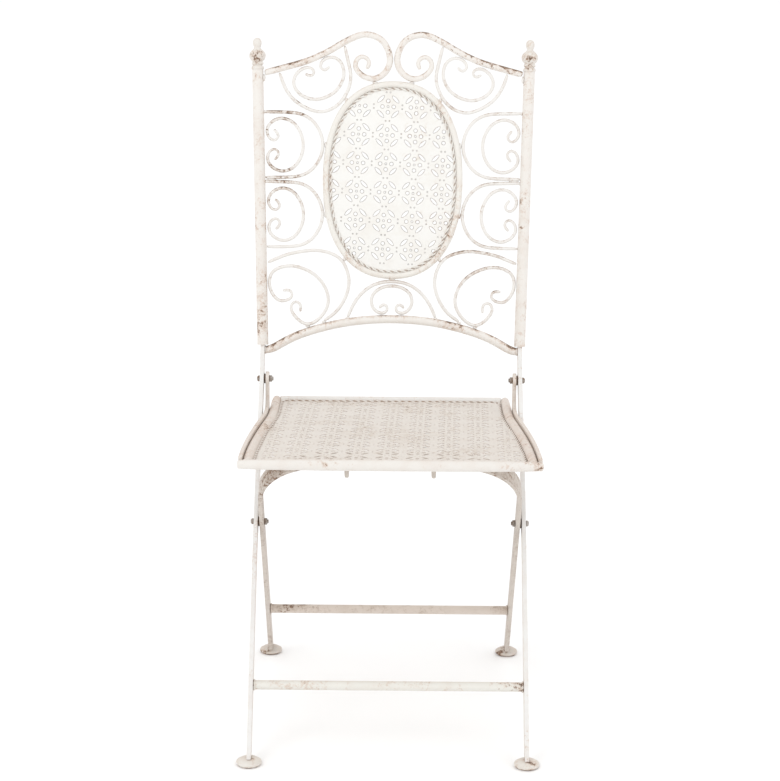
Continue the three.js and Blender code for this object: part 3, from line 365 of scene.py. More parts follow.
def weld_rings(node, name, material, body):
    """The weld run round both ends of a rung, a little uneven."""
    low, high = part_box(node)
    rings = []
    for x in (low.x + RUNG_WELD_INSET, high.x - RUNG_WELD_INSET):
        bpy.ops.object.select_all(action="DESELECT")
        bpy.ops.mesh.primitive_torus_add(
            location=(x, (low.y + high.y) / 2, (low.z + high.z) / 2), rotation=(0, math.pi / 2, 0),
            major_radius=RUNG_RADIUS, minor_radius=RUNG_WELD_SIZE, major_segments=24, minor_segments=8,
        )
        bpy.ops.object.transform_apply(location=True, rotation=True, scale=True)
        bpy.ops.object.mode_set(mode="EDIT")
        bpy.ops.transform.vertex_random(offset=RUNG_WELD_UNEVEN, seed=3)
        bpy.ops.object.mode_set(mode="OBJECT")
        rings.append(bpy.context.active_object)
    for ring in rings:
        ring.select_set(True)
    bpy.ops.object.join()
    welds = bpy.context.active_object
    welds.name = name
    welds.data.name = name
    bpy.ops.object.shade_smooth()
    finished(welds, material, body, None)


for node, name, body, paint in (
    ("front_rung", "rung_front", "back_frame", front_rung_paint),
    ("rear_rung", "rung_rear", "rear_legs", rear_rung_paint),
):
    rung = forged(node, name, swell=RUNG_SWELL, corners=50)
    finished(rung, paint, body, node)
    weld_rings(node, f"{name}_welds", paint, body)


# The feet are pressed iron discs with rounded rims and a slight dome, and the legs are welded into them.
# Their paint is scuffed through round the rim and by the welds.
FOOT_THICKNESS = 0.0105
FOOT_CENTRE = 0.0006
FOOT_SIDES = 40
FOOT_RIM = [
    (0.0042, 0.0), (0.0020, 0.0005), (0.0006, 0.0018), (0.0, 0.0036), (0.0001, 0.0048), (0.0008, 0.0057),
    (0.0019, 0.0063), (0.0032, 0.0072), (0.0056, 0.0087), (0.0088, 0.0099), (0.0120, FOOT_THICKNESS),
]
FOOT_CREAM = (0.725, 0.70, 0.65, 1.0)
FOOT_TAUPE = (0.60, 0.56, 0.51, 1.0)


def turned(name, profile, sides):
    """A piece turned on a lathe: a disc drawn up ring by ring through its profile of (radius, height)."""
    bpy.ops.object.select_all(action="DESELECT")
    bpy.ops.mesh.primitive_circle_add(
        vertices=sides, radius=profile[0][0], fill_type="NGON", location=(0, 0, profile[0][1])
    )
    bpy.ops.object.transform_apply(location=True, rotation=True, scale=True)
    piece = bpy.context.active_object
    piece.name = name
    piece.data.name = name
    bpy.ops.object.mode_set(mode="EDIT")
    bpy.ops.mesh.select_all(action="SELECT")
    for (radius, height), (next_radius, next_height) in zip(profile, profile[1:]):
        bpy.ops.mesh.extrude_region_move(TRANSFORM_OT_translate={"value": (0, 0, next_height - height)})
        widen = next_radius / radius
        bpy.ops.transform.resize(value=(widen, widen, 1), center_override=(0, 0, next_height))
    bpy.ops.mesh.select_all(action="SELECT")
    bpy.ops.mesh.normals_make_consistent(inside=False)
    bpy.ops.object.mode_set(mode="OBJECT")
    bpy.ops.object.shade_smooth_by_angle(angle=LATHE_TURN)
    return piece


foot_paint = peeling_paint("front_foot_paint", FOOT_CREAM, TAN, 0.09, rubbed=0.04, creases=0.3, marks=[
    ((0.2040, -0.2130, 0.0095), 0.010, 0.2), ((-0.1900, -0.2130, 0.0105), 0.007, 0.26),
])
rear_foot_paint = peeling_paint("rear_foot_paint", FOOT_TAUPE, TAN, 0.15, rubbed=0.05, creases=0.4, marks=[
    ((-0.2000, 0.2080, 0.0095), 0.012, 0.3), ((0.1730, 0.2080, 0.0085), 0.014, 0.34),
])
for where, body, paint in (("front", "back_frame", foot_paint), ("rear", "rear_legs", rear_foot_paint)):
    for side in ("left", "right"):
        low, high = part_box(f"{where}_foot_{side}")
        radius = (high.x - low.x) / 2
        profile = [(radius - inset, height) for inset, height in FOOT_RIM]
        foot = turned(
            f"disc_{where}_{side}", profile + [(FOOT_CENTRE, FOOT_THICKNESS)], FOOT_SIDES
        )
        foot.data.transform(Matrix.Translation(((low.x + high.x) / 2, (low.y + high.y) / 2, 0)))
        finished(foot, paint, body, f"{where}_foot_{side}")


# The uprights are round tubes sleeved over the long bars, and carry the scrollwork between them.
# A turned finial with a collar, a bulb and a ball closes the top of each.
TUBE_RADIUS = 0.0082
TUBE_SWELL = 0.0003
BACK_LEAN = math.radians(10)
SPLAY = math.atan(0.0222)
UPRIGHT_CREAM = (0.765, 0.735, 0.695, 1.0)
FINIAL_CREAM = (0.735, 0.705, 0.66, 1.0)
FINIAL_SIDES = 32
FINIAL_PROFILE = [
    (0.0086, 0.0002), (0.0090, 0.0008), (0.0090, 0.0036), (0.0083, 0.0046), (0.0070, 0.0056),
    (0.0068, 0.0064), (0.0078, 0.0072), (0.0088, 0.0085), (0.0083, 0.0100), (0.0073, 0.0112),
    (0.0080, 0.0125), (0.0100, 0.0142), (0.0113, 0.0165), (0.0120, 0.0195), (0.0119, 0.0220),
    (0.0108, 0.0248), (0.0086, 0.0274), (0.0062, 0.0294), (0.0048, 0.0310), (0.0046, 0.0325),
    (0.0052, 0.0340), (0.0060, 0.0358), (0.0064, 0.0382), (0.0062, 0.0408), (0.0053, 0.0431),
    (0.0037, 0.0449), (0.0016, 0.0458), (0.0004, 0.0460),
]
tube_paint = peeling_paint("upright_paint", UPRIGHT_CREAM, TAN, 0.11, sides=0.09, marks=[
    ((-0.2000, 0.1146, 0.6050), 0.06, 0.10), ((-0.2000, 0.1056, 0.5462), 0.04, 0.07),
    ((-0.1960, 0.1300, 0.6843), 0.07, 0.08), ((0.2030, 0.1686, 0.9035), 0.05, 0.05),
    ((0.1891, 0.1405, 0.7438), 0.006, 0.3), ((0.1896, 0.1336, 0.7048), 0.005, 0.3),
    ((-0.2010, 0.1680, 0.9150), 0.014, 0.16),
])
finial_paint = peeling_paint("finial_paint", FINIAL_CREAM, TAN, 0.12, creases=0.1, marks=[
    ((-0.2040, 0.1736, 0.9530), 0.011, 0.16), ((-0.1950, 0.1741, 0.9560), 0.008, 0.15),
    ((-0.2020, 0.1714, 0.9421), 0.010, 0.20), ((-0.1960, 0.1714, 0.9415), 0.007, 0.14),
    ((0.1958, 0.1727, 0.9490), 0.007, 0.18), ((0.2035, 0.1727, 0.9497), 0.007, 0.18),
    ((0.2022, 0.1707, 0.9383), 0.009, 0.18),
])
for side, sign in (("left", -1), ("right", 1)):
    tube = forged(f"upright_{side}", f"tube_{side}", swell=TUBE_SWELL, corners=50)
    finished(tube, tube_paint, "back_frame", f"upright_{side}")
    low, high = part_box(f"upright_{side}")
    top_x = (high.x if sign > 0 else low.x) - sign * TUBE_RADIUS
    finial = turned(f"knob_{side}", FINIAL_PROFILE, FINIAL_SIDES)
    finial_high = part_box(f"finial_{side}")[1]
    stand = Matrix.Rotation(-BACK_LEAN, 4, "X") @ Matrix.Rotation(sign * SPLAY, 4, "Y")
    tip = stand @ Vector((0, 0, FINIAL_PROFILE[-1][1]))
    base = (top_x, high.y - TUBE_RADIUS * math.cos(BACK_LEAN), finial_high.z - tip.z)
    finial.data.transform(Matrix.Translation(base) @ stand)
    finished(finial, finial_paint, "back_frame", f"finial_{side}")


# The oval of the back is a ring of round iron with a punched sheet inside it.
# Its paint is ivory rather than cream, and is worn brown along the lower quarters.
RING_TUBE = 0.0046
RING_SWELL = 0.00045
RING_IVORY = (0.775, 0.755, 0.71, 1.0)
ring_paint = peeling_paint("ring_paint", RING_IVORY, TAN, 0.09, sides=0.07, marks=[
    ((-0.0693, 0.1279, 0.6527), 0.03, 0.16), ((0.0562, 0.1280, 0.6537), 0.035, 0.14),
    ((0.0925, 0.1376, 0.7077), 0.025, 0.06),
])
ring = forged("oval_ring", "ring", swell=RING_SWELL)
finished(ring, ring_paint, "back_frame", "oval_ring")

ring_low, ring_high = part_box("oval_ring")
oval_middle = (ring_low + ring_high) / 2
oval_half_width = (ring_high.x - ring_low.x) / 2 - RING_TUBE
oval_half_height = (ring_high.z - ring_low.z) / 2 / math.cos(BACK_LEAN) - RING_TUBE


# The border of the oval is two thin wires twisted together and laid inside the ring.
# The grooves of the twist are painted darker in rust colour, partly as rust and partly as painted shade.
STRAND = 0.0013
TWIST_PITCH = 0.0208
STRAND_SIDES = 14
STRAND_MERGE = 0.0002
TWIST_STEPS = 12
GUIDE_POINTS = 240
OVAL_POWER = 2.32
ROPE_INSET = 0.0067
ROPE_PATH_POINTS = 480


def oval_path(inset, count):
    """Points round the oval in its own plane, where the second number runs up the back."""
    points = []
    for k in range(count):
        angle = 2 * math.pi * k / count
        across = math.cos(angle)
        up = math.sin(angle)
        points.append((
            (oval_half_width - inset) * math.copysign(abs(across) ** (2 / OVAL_POWER), across),
            (oval_half_height - inset) * math.copysign(abs(up) ** (2 / OVAL_POWER), up),
        ))
    return points


def even_path(points, count):
    """The same closed path with its points evenly spaced, and its length."""
    closed = points + [points[0]]
    runs = [0.0]
    for (ax, ay), (bx, by) in zip(closed, closed[1:]):
        runs.append(runs[-1] + math.hypot(bx - ax, by - ay))
    even = []
    k = 0
    for i in range(count):
        want = runs[-1] * i / count
        while runs[k + 1] <= want:
            k += 1
        share = (want - runs[k]) / (runs[k + 1] - runs[k])
        (ax, ay), (bx, by) = closed[k], closed[k + 1]
        even.append((ax + (bx - ax) * share, ay + (by - ay) * share))
    return even, runs[-1]


def twisted_wire(name, path, place):
    """Two strands twisted round each other and bent along a closed path of (across, along) points,
    then put in place by a matrix. Its depth attribute goes from 0 outside to 1 where they touch."""
    path, length = even_path(path, GUIDE_POINTS)
    turns = round(length / TWIST_PITCH)
    bpy.ops.object.select_all(action="DESELECT")
    for offset in (STRAND, -STRAND):
        bpy.ops.mesh.primitive_circle_add(
            vertices=STRAND_SIDES, radius=STRAND, location=(0, 0, offset), rotation=(0, math.pi / 2, 0)
        )
        circle = bpy.context.active_object
        bpy.ops.object.transform_apply(location=True, rotation=True, scale=True)
        if offset > 0:
            first = circle
    bpy.ops.object.select_all(action="DESELECT")
    first.select_set(True)
    circle.select_set(True)
    bpy.context.view_layer.objects.active = first
    bpy.ops.object.join()
    wire = bpy.context.active_object
    wire.name = name
    wire.data.name = name
    bpy.ops.object.modifier_add(type="SCREW")
    screw = wire.modifiers["Screw"]
    screw.axis = "X"
    screw.angle = 2 * math.pi
    screw.screw_offset = length / turns
    screw.iterations = turns
    screw.steps = TWIST_STEPS
    screw.render_steps = TWIST_STEPS
    bpy.ops.object.modifier_apply(modifier="Screw")
    depth = wire.data.attributes.new("depth", "FLOAT", "POINT")
    for vertex, value in zip(wire.data.vertices, depth.data):
        value.value = 1 - math.hypot(vertex.co.y, vertex.co.z) / (2 * STRAND)
    guide_data = bpy.data.curves.new(name + "_guide", "CURVE")
    guide_data.dimensions = "3D"
    spline = guide_data.splines.new("POLY")
    spline.points.add(len(path) - 1)
    for point, (x, y) in zip(spline.points, path):
        point.co = (x, y, 0.0, 1.0)
    spline.use_cyclic_u = True
    guide = bpy.data.objects.new(name + "_guide", guide_data)
    bpy.context.scene.collection.objects.link(guide)
    bpy.ops.object.modifier_add(type="CURVE")
    wire.modifiers["Curve"].object = guide
    bpy.ops.object.modifier_apply(modifier="Curve")
    bpy.data.objects.remove(guide)
    wire.data.transform(place)
    alone(wire)
    bpy.ops.object.mode_set(mode="EDIT")
    bpy.ops.mesh.select_all(action="SELECT")
    bpy.ops.mesh.remove_doubles(threshold=STRAND_MERGE)
    bpy.ops.mesh.normals_make_consistent(inside=False)
    bpy.ops.object.mode_set(mode="OBJECT")
    bpy.ops.object.shade_smooth()
    return wire


back_plane = Matrix.Translation(oval_middle) @ Matrix.Rotation(math.pi / 2 - BACK_LEAN, 4, "X")
rope = twisted_wire(
    "twisted_border_oval", oval_path(ROPE_INSET, ROPE_PATH_POINTS), back_plane
)
rope_paint = peeling_paint("oval_twist_paint", RING_IVORY, TAN, 0.05, creases=0.0, dirt_and_shade=0.15, groove_rust_and_shade=0.6)
finished(rope, rope_paint, "back_frame", "oval_rope")


# The oval sheet is thin iron punched all over with rosettes: four slots round four small holes and a dot.
# The same sheet is used in the seat. The punch left a burr round each hole, where the paint has gone.
ROSETTE_PITCH = 0.0418
ROSETTE_TURN = math.radians(-1.8)
SHEET_HALF_THICK = 0.00035
BURR_HEIGHT = 0.0001
BURR_WIDTH = 0.0007
SLOT_OUT = 0.0153
SLOT_HALF_LENGTH = 0.0067
SLOT_HALF_WIDTH = 0.0022
SLOT_POINTS = 14
SLOT_TAPER = 0.2
HOLE_OUT = 0.0083
HOLE_RADIUS = 0.0024
DOT_RADIUS = 0.0012
PAIR_HALF = 0.0028
PAIR_RADIUS = 0.0006
SHEET_IVORY = (0.815, 0.807, 0.78, 1.0)
SHEET_TAN = (0.66, 0.58, 0.49, 1.0)
BURR_GREY = (0.25, 0.235, 0.21, 1.0)
BURR_TAN = (0.45, 0.41, 0.37, 1.0)
OVAL_SHEET_INSET = 0.0010
OVAL_SHEET_MARGIN = 0.0042
OVAL_SHEET_POINTS = 120
OVAL_SHIFT = (-0.011, 0.024)


def round_hole(x, y, radius, sides=12):
    """A round hole, and the outline of its burr."""
    loops = []
    for reach in (radius, radius + BURR_WIDTH):
        loops.append([
            (x + reach * math.cos(2 * math.pi * k / sides), y + reach * math.sin(2 * math.pi * k / sides))
            for k in range(sides)
        ])
    return loops


def leaf_slot(x, y, angle):
    """A slot with narrow ends, whose length lies at the given angle, and the outline of its burr."""
    loops = []
    for grow in (0.0, BURR_WIDTH):
        points = []
        for k in range(SLOT_POINTS):
            turn = 2 * math.pi * k / SLOT_POINTS
            along = (SLOT_HALF_LENGTH + grow) * math.cos(turn)
            over = (SLOT_HALF_WIDTH + grow) * math.sin(turn) * (1 - SLOT_TAPER * abs(math.cos(turn)))
            points.append((
                x + along * math.cos(angle) - over * math.sin(angle),
                y + along * math.sin(angle) + over * math.cos(angle),
            ))
        loops.append(points)
    return loops


def rosette(x, y):
    """The punched holes of one rosette, and the small pairs of dots towards its neighbours."""
    holes = [round_hole(x, y, DOT_RADIUS, 8)]
    for k in range(4):
        angle = ROSETTE_TURN + k * math.pi / 2
        holes.append(round_hole(
            x + HOLE_OUT * math.cos(angle), y + HOLE_OUT * math.sin(angle), HOLE_RADIUS))
        slant = angle + math.pi / 4
        holes.append(leaf_slot(
            x + SLOT_OUT * math.cos(slant), y + SLOT_OUT * math.sin(slant), slant + math.pi / 2))
    for k in range(2):
        angle = ROSETTE_TURN + k * math.pi / 2
        middle_x = x + ROSETTE_PITCH / 2 * math.cos(angle)
        middle_y = y + ROSETTE_PITCH / 2 * math.sin(angle)
        for end in (-PAIR_HALF, PAIR_HALF):
            holes.append(round_hole(
                middle_x - end * math.sin(angle), middle_y + end * math.cos(angle), PAIR_RADIUS, 6))
    return holes


def filled(name, loops, half_thick, place):
    """A flat sheet between closed loops of points, put in its place by a matrix."""
    flat = bpy.data.curves.new(name, "CURVE")
    flat.dimensions = "2D"
    flat.fill_mode = "BOTH"
    flat.extrude = half_thick
    for points in loops:
        spline = flat.splines.new("POLY")
        spline.points.add(len(points) - 1)
        for point, (x, y) in zip(spline.points, points):
            point.co = (x, y, 0.0, 1.0)
        spline.use_cyclic_u = True
    sheet = bpy.data.objects.new(name, flat)
    bpy.context.scene.collection.objects.link(sheet)
    alone(sheet)
    bpy.ops.object.convert(target="MESH")
    sheet = bpy.context.active_object
    sheet.data.transform(place)
    bpy.ops.object.mode_set(mode="EDIT")
    bpy.ops.mesh.select_all(action="SELECT")
    bpy.ops.mesh.remove_doubles(threshold=MERGE_REACH)
    bpy.ops.mesh.normals_make_consistent(inside=False)
    bpy.ops.object.mode_set(mode="OBJECT")
    bpy.ops.object.shade_smooth_by_angle(angle=SMOOTH_TURN)
    return sheet


def punched(name, outline, inside, shift, reach, place, paint, burr_paint):
    """A sheet with every rosette hole that the inside test lets through, and its burrs."""
    holes = []
    count = math.ceil(reach / ROSETTE_PITCH) + 1
    for i in range(-count, count + 1):
        for j in range(-count, count + 1):
            u = i * ROSETTE_PITCH + shift[0]
            v = j * ROSETTE_PITCH + shift[1]
            x = u * math.cos(ROSETTE_TURN) - v * math.sin(ROSETTE_TURN)
            y = u * math.sin(ROSETTE_TURN) + v * math.cos(ROSETTE_TURN)
            holes += [hole for hole in rosette(x, y) if all(inside(*point) for point in hole[1])]
    sheet = filled(name, [outline] + [hole[1] for hole in holes], SHEET_HALF_THICK, place)
    rims = [loop for hole in holes for loop in hole]
    burrs = filled(f"{name}_burrs", rims, SHEET_HALF_THICK + BURR_HEIGHT, place)
    sheet.data.materials.clear()
    sheet.data.materials.append(paint)
    burrs.data.materials.clear()
    burrs.data.materials.append(burr_paint)
    alone(sheet)
    burrs.select_set(True)
    bpy.ops.object.join()
    return bpy.context.active_object


def inside_oval(x, y):
    """Whether a point lies where the oval sheet is punched."""
    inset = OVAL_SHEET_INSET + OVAL_SHEET_MARGIN
    across = abs(x) / (oval_half_width - inset)
    up = abs(y) / (oval_half_height - inset)
    return across ** OVAL_POWER + up ** OVAL_POWER < 1


oval_paint = peeling_paint("oval_sheet_paint", SHEET_IVORY, SHEET_TAN, 0.0, creases=0.0, dirt_and_shade=0.1)
oval_burr_paint = peeling_paint("oval_burr_paint", BURR_GREY, BURR_TAN, 0.24)
oval_sheet = punched(
    "punched_oval", oval_path(OVAL_SHEET_INSET, OVAL_SHEET_POINTS), inside_oval, OVAL_SHIFT,
    oval_half_height, back_plane, oval_paint, oval_burr_paint,
)
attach(oval_sheet, "back_frame")
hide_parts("oval_sheet")


# The top rails are round rods that leave the uprights, rise to a crest and roll up on the oval.
# A thicker rod arches between the uprights below. All three are rubbed brown on top, and browned along the
# flanks, partly as wear and partly as painted shade along the outline.
RAIL_SWELL = 0.0005
RAIL_CREAM = (0.775, 0.745, 0.705, 1.0)
rail_paint = peeling_paint("rail_paint", RAIL_CREAM, TAN, 0.11, sides=0.07, upper=0.17, marks=[
    ((-0.1811, 0.1778, 0.9380), 0.022, 0.10), ((-0.1591, 0.1781, 0.9400), 0.022, 0.10),
    ((-0.1372, 0.1792, 0.9470), 0.022, 0.09), ((-0.1007, 0.1827, 0.9660), 0.030, 0.09),
    ((-0.0715, 0.1848, 0.9790), 0.020, 0.10), ((-0.0083, 0.1794, 0.9413), 0.018, 0.10),
    ((0.0062, 0.1837, 0.9680), 0.024, 0.17), ((0.0441, 0.1865, 0.9880), 0.024, 0.17),
    ((0.0822, 0.1845, 0.9780), 0.026, 0.16), ((0.1088, 0.1820, 0.9640), 0.028, 0.18),
    ((0.1338, 0.1801, 0.9510), 0.026, 0.16), ((0.1632, 0.1786, 0.9420), 0.026, 0.16),
    ((0.1852, 0.1779, 0.9350), 0.018, 0.10), ((-0.0835, 0.1113, 0.5760), 0.030, 0.09),
    ((0.0941, 0.1093, 0.5480), 0.034, 0.08), ((0.0719, 0.1100, 0.5520), 0.030, 0.09),
    ((-0.1795, 0.1050, 0.5312), 0.020, 0.12), ((0.1758, 0.1050, 0.5270), 0.018, 0.08),
])
for node, name in (
    ("top_rail_left", "crest_left"),
    ("top_rail_right", "crest_right"),
    ("bottom_rail", "lower_arch"),
):
    rail = forged(node, name, swell=RAIL_SWELL)
    finished(rail, rail_paint, "back_frame", node)


# The scrollwork is bent from thin round wire and spot welded to the tubes, the rails and the oval.
# On wire this thin the paint has gone from whole stretches, and the rest is cream.
WIRE_SWELL = 0.00042
WIRE_CREAM = (0.775, 0.755, 0.725, 1.0)
WIRE_TAN = (0.50, 0.395, 0.325, 1.0)
wire_paint = peeling_paint("scroll_paint", WIRE_CREAM, WIRE_TAN, 0.11, sides=0.10, upper=0.11, marks=[
    ((-0.170, 0.163, 0.870), 0.036, 0.15), ((-0.170, 0.150, 0.795), 0.036, 0.15),
    ((-0.150, 0.160, 0.862), 0.030, 0.12), ((-0.168, 0.146, 0.762), 0.036, 0.14),
    ((-0.150, 0.125, 0.640), 0.040, 0.08), ((0.110, 0.178, 0.920), 0.030, 0.08),
])
wires = ["centre_arch", "centre_curl"]
for corner in ("top", "upper", "lower", "bottom"):
    for shape in ("bow", "curl"):
        for side in ("left", "right"):
            wires.append(f"scroll_{corner}_{shape}_{side}")
for node in wires:
    wire = forged(node, node + "_wire", swell=WIRE_SWELL)
    finished(wire, wire_paint, "back_frame", node)


# Where wires meet a tube, a rail or the oval, a small bead of weld holds them.
# The beads are rough, painted over with the rest, and rust shows round them.
BEAD_UNEVEN = 0.00025
TUBE_BEAD = (0.0022, 0.0021, 0.0024)
OVAL_SIDE_BEAD = (0.0018, 0.0024, 0.0046)
OVAL_CORNER_BEAD = (0.0024, 0.0022, 0.0036)
OVAL_TOP_BEAD = (0.0042, 0.0026, 0.0018)
OVAL_FOOT_BEAD = (0.0048, 0.0026, 0.0016)
BOW_PAIR_BEAD = (0.0075, 0.0016, 0.0014)
CREST_BEAD = (0.0022, 0.0048, 0.0052)
ARCH_BEAD = (0.0032, 0.0026, 0.0016)
BOW_BEAD = (0.0034, 0.0026, 0.0016)
CURL_BEAD = (0.0036, 0.0024, 0.0014)
RAIL_END_BEAD = (0.0026, 0.0062, 0.0062)
OVAL_CORNERS = (0.117, -0.116)
OVAL_TOP_OUT = 0.027
BOW_PAIR_OUT = 0.1785
ARCH_OUT = 0.065
BOW_OUT = 0.100
CURL_OUT = 0.124
RAIL_END_OUT = 0.1862
TOUCH_GAP = 0.0002
BOW_END_INSET = 0.0025
TUBE_BEAD_OUT = 0.0006
CREST_RISE = 0.0042
CURL_RISE = 0.0002
RAIL_END_RISE = 0.0060


def oval_side(up, grow):
    """How far out the oval ring's axis is at a height from its middle, grown by an amount."""
    share = min(abs(up) / (oval_half_height + grow), 1.0)
    return (oval_half_width + grow) * (1 - share ** OVAL_POWER) ** (1 / OVAL_POWER)


def oval_rise(across, grow):
    """How high the oval ring's axis is at a place from its middle, grown by an amount."""
    share = min(abs(across) / (oval_half_width + grow), 1.0)
    return (oval_half_height + grow) * (1 - share ** OVAL_POWER) ** (1 / OVAL_POWER)


def on_back(x, z):
    """The place on the back's plane at a height over the floor."""
    return Vector((x, oval_middle.y + (z - oval_middle.z) * math.tan(BACK_LEAN), z))


def beads(name, spots, body, paint):
    """Beads of weld as one piece. Each spot is a place and the bead's half sizes."""
    lumps = []
    for place, size in spots:
        bpy.ops.object.select_all(action="DESELECT")
        bpy.ops.mesh.primitive_uv_sphere_add(
            segments=12, ring_count=8, radius=1.0, location=place, scale=size
        )
        bpy.ops.object.transform_apply(location=True, rotation=True, scale=True)
        bpy.ops.object.mode_set(mode="EDIT")
        bpy.ops.transform.vertex_random(offset=BEAD_UNEVEN, seed=len(lumps) + 1)
        bpy.ops.object.mode_set(mode="OBJECT")
        lumps.append(bpy.context.active_object)
    for lump in lumps:
        lump.select_set(True)
    bpy.ops.object.join()
    run = bpy.context.active_object
    run.name = name
    run.data.name = name
    bpy.ops.object.shade_smooth()
    finished(run, paint, body, None)


spots = []
touch = RING_TUBE + TOUCH_GAP
for sign, side in ((-1, "left"), (1, "right")):
    for corner in ("upper", "lower"):
        low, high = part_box(f"scroll_{corner}_bow_{side}")
        outer = low.x if side == "left" else high.x
        for z in (low.z + BOW_END_INSET, high.z - BOW_END_INSET):
            spots.append((on_back(outer - sign * TUBE_BEAD_OUT, z), TUBE_BEAD))
        middle = (low.z + high.z) / 2
        up = (middle - oval_middle.z) / math.cos(BACK_LEAN)
        spots.append((on_back(sign * oval_side(up, touch), middle), OVAL_SIDE_BEAD))
    upper_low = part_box(f"scroll_upper_bow_{side}")[0]
    lower_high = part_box(f"scroll_lower_bow_{side}")[1]
    between = (upper_low.z + lower_high.z) / 2
    spots.append((on_back(sign * BOW_PAIR_OUT, between), BOW_PAIR_BEAD))
    for up in OVAL_CORNERS:
        spots.append((back_plane @ Vector((sign * oval_side(up, touch), up, 0)), OVAL_CORNER_BEAD))
    crest = Vector((sign * OVAL_TOP_OUT, oval_rise(OVAL_TOP_OUT, touch), 0))
    spots.append((back_plane @ crest, OVAL_TOP_BEAD))
    rail_low, rail_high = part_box(f"top_rail_{side}")
    rail_x = rail_low.x if side == "left" else rail_high.x
    spots.append((on_back(rail_x, rail_low.z + CREST_RISE), CREST_BEAD))
    arch_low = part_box("centre_arch")[0]
    spots.append((on_back(sign * ARCH_OUT, arch_low.z), ARCH_BEAD))
    bow_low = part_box(f"scroll_bottom_bow_{side}")[0]
    spots.append((on_back(sign * BOW_OUT, bow_low.z), BOW_BEAD))
    curl_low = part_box(f"scroll_bottom_curl_{side}")[0]
    spots.append((on_back(sign * CURL_OUT, curl_low.z + CURL_RISE), CURL_BEAD))
    arch_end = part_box("bottom_rail")[0]
    spots.append((on_back(sign * RAIL_END_OUT, arch_end.z + RAIL_END_RISE), RAIL_END_BEAD))
spots.append((back_plane @ Vector((0, -oval_half_height - touch, 0)), OVAL_FOOT_BEAD))
bead_paint = peeling_paint("weld_bead_paint", WIRE_CREAM, TAN, 0.13, marks=[
    ((-0.1921, 0.1769, 0.9276), 0.008, 0.4), ((0.1919, 0.1770, 0.9279), 0.008, 0.4),
])
beads("weld_beads_back", spots, "back_frame", bead_paint)


# The seat frame is a thick front rail, bowed side tubes and a thin rear tube.
# Flat arms outside the side tubes carry it on the pivots, so that the seat can be lifted.
FRONT_CREAM = (0.745, 0.715, 0.675, 1.0)
SIDE_BEIGE = (0.71, 0.66, 0.61, 1.0)
REAR_CREAM = (0.76, 0.745, 0.72, 1.0)
FRONT_SWELL = 0.0003
REAR_SWELL = 0.00025
SIDE_SWELL = 0.0007
ARM_EDGE = 0.0007
FRONT_WELD_OUT = 0.1935
FRONT_WELD = (0.0072, 0.0022, 0.0062)
REAR_WELD_OUT = 0.1660
REAR_WELD = (0.0020, 0.0058, 0.0058)
front_paint = peeling_paint("front_rail_paint", FRONT_CREAM, TAN, 0.05, sides=0.02, creases=0.25, marks=[
    ((-0.0891, -0.2386, 0.4520), 0.007, 0.2), ((0.0745, -0.2300, 0.4570), 0.05, 0.12),
    ((-0.0820, -0.2300, 0.4570), 0.04, 0.12), ((0.198, -0.2300, 0.4540), 0.016, 0.14),
])
rear_rail_paint = peeling_paint("rear_rail_paint", REAR_CREAM, TAN, 0.05, sides=0.03)
side_paint = peeling_paint("side_rail_paint", SIDE_BEIGE, TAN, 0.13, sides=0.07, creases=0.0, dirt_and_shade=0.1)
arm_paint = peeling_paint("arm_paint", SIDE_BEIGE, TAN, 0.13, creases=0.0, dirt_and_shade=0.1, rubbed=0.12)
front_rail = forged("seat_front_rail", "rail_front", swell=FRONT_SWELL)
finished(front_rail, front_paint, "seat", "seat_front_rail")
rear_rail = forged("seat_rear_rail", "rail_rear", swell=REAR_SWELL, corners=50)
finished(rear_rail, rear_rail_paint, "seat", "seat_rear_rail")
for side in ("left", "right"):
    side_rail = forged(f"seat_side_rail_{side}", f"rail_{side}", swell=SIDE_SWELL)
    finished(side_rail, side_paint, "seat", f"seat_side_rail_{side}")
    arm = forged(f"seat_arm_{side}", f"arm_{side}", corners=45, edge=ARM_EDGE)
    finished(arm, arm_paint, "seat", f"seat_arm_{side}")
front_low, front_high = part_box("seat_front_rail")
rear_low, rear_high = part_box("seat_rear_rail")
front_z = (front_low.z + front_high.z) / 2
rear_z = (rear_low.z + rear_high.z) / 2
beads("weld_beads_seat", [
    (Vector((sign * x, y, z)), size)
    for sign in (-1, 1)
    for x, y, z, size in (
        (FRONT_WELD_OUT, front_high.y, front_z, FRONT_WELD),
        (REAR_WELD_OUT, (rear_low.y + rear_high.y) / 2, rear_z, REAR_WELD),
    )
], "seat", side_paint)


# The seat is the same punched sheet, laid flat and edged with the same twisted wire.
# It is rubbed thin by use, so that it looks beige and mottled, and the grooves of the twist are painted
# dark, partly as rust and grime and partly as painted shade.
SEAT_TILT = math.radians(2.6)
SAND = (0.722, 0.682, 0.636, 1.0)
SAND_TAN = (0.60, 0.525, 0.455, 1.0)
BURR_SAND = (0.565, 0.505, 0.455, 1.0)
SEAT_CORNER = 0.008
SEAT_NEAR = 0.022
SEAT_ROPE_OUT = 0.0022
SEAT_SHEET_OUT = 0.004
SEAT_HOLES_OUT = 0.001
SEAT_STATIONS = 14
sheet_low, sheet_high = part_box("seat_sheet")
seat_middle = (sheet_low + sheet_high) / 2
seat_plane = Matrix.Translation(seat_middle) @ Matrix.Rotation(-SEAT_TILT, 4, "X")
seat_half_length = (sheet_high.y - sheet_low.y) / 2 / math.cos(SEAT_TILT)
side_points = [
    (vertex.co.y - seat_middle.y, vertex.co.x)
    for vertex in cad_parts["seat_sheet"].data.vertices
    if vertex.co.x > 0
]


def seat_half(y):
    """Half width of the punched sheet at a place along the seat, read from the sheet's solid."""
    return max(x for place, x in side_points if abs(place - y) < SEAT_NEAR)


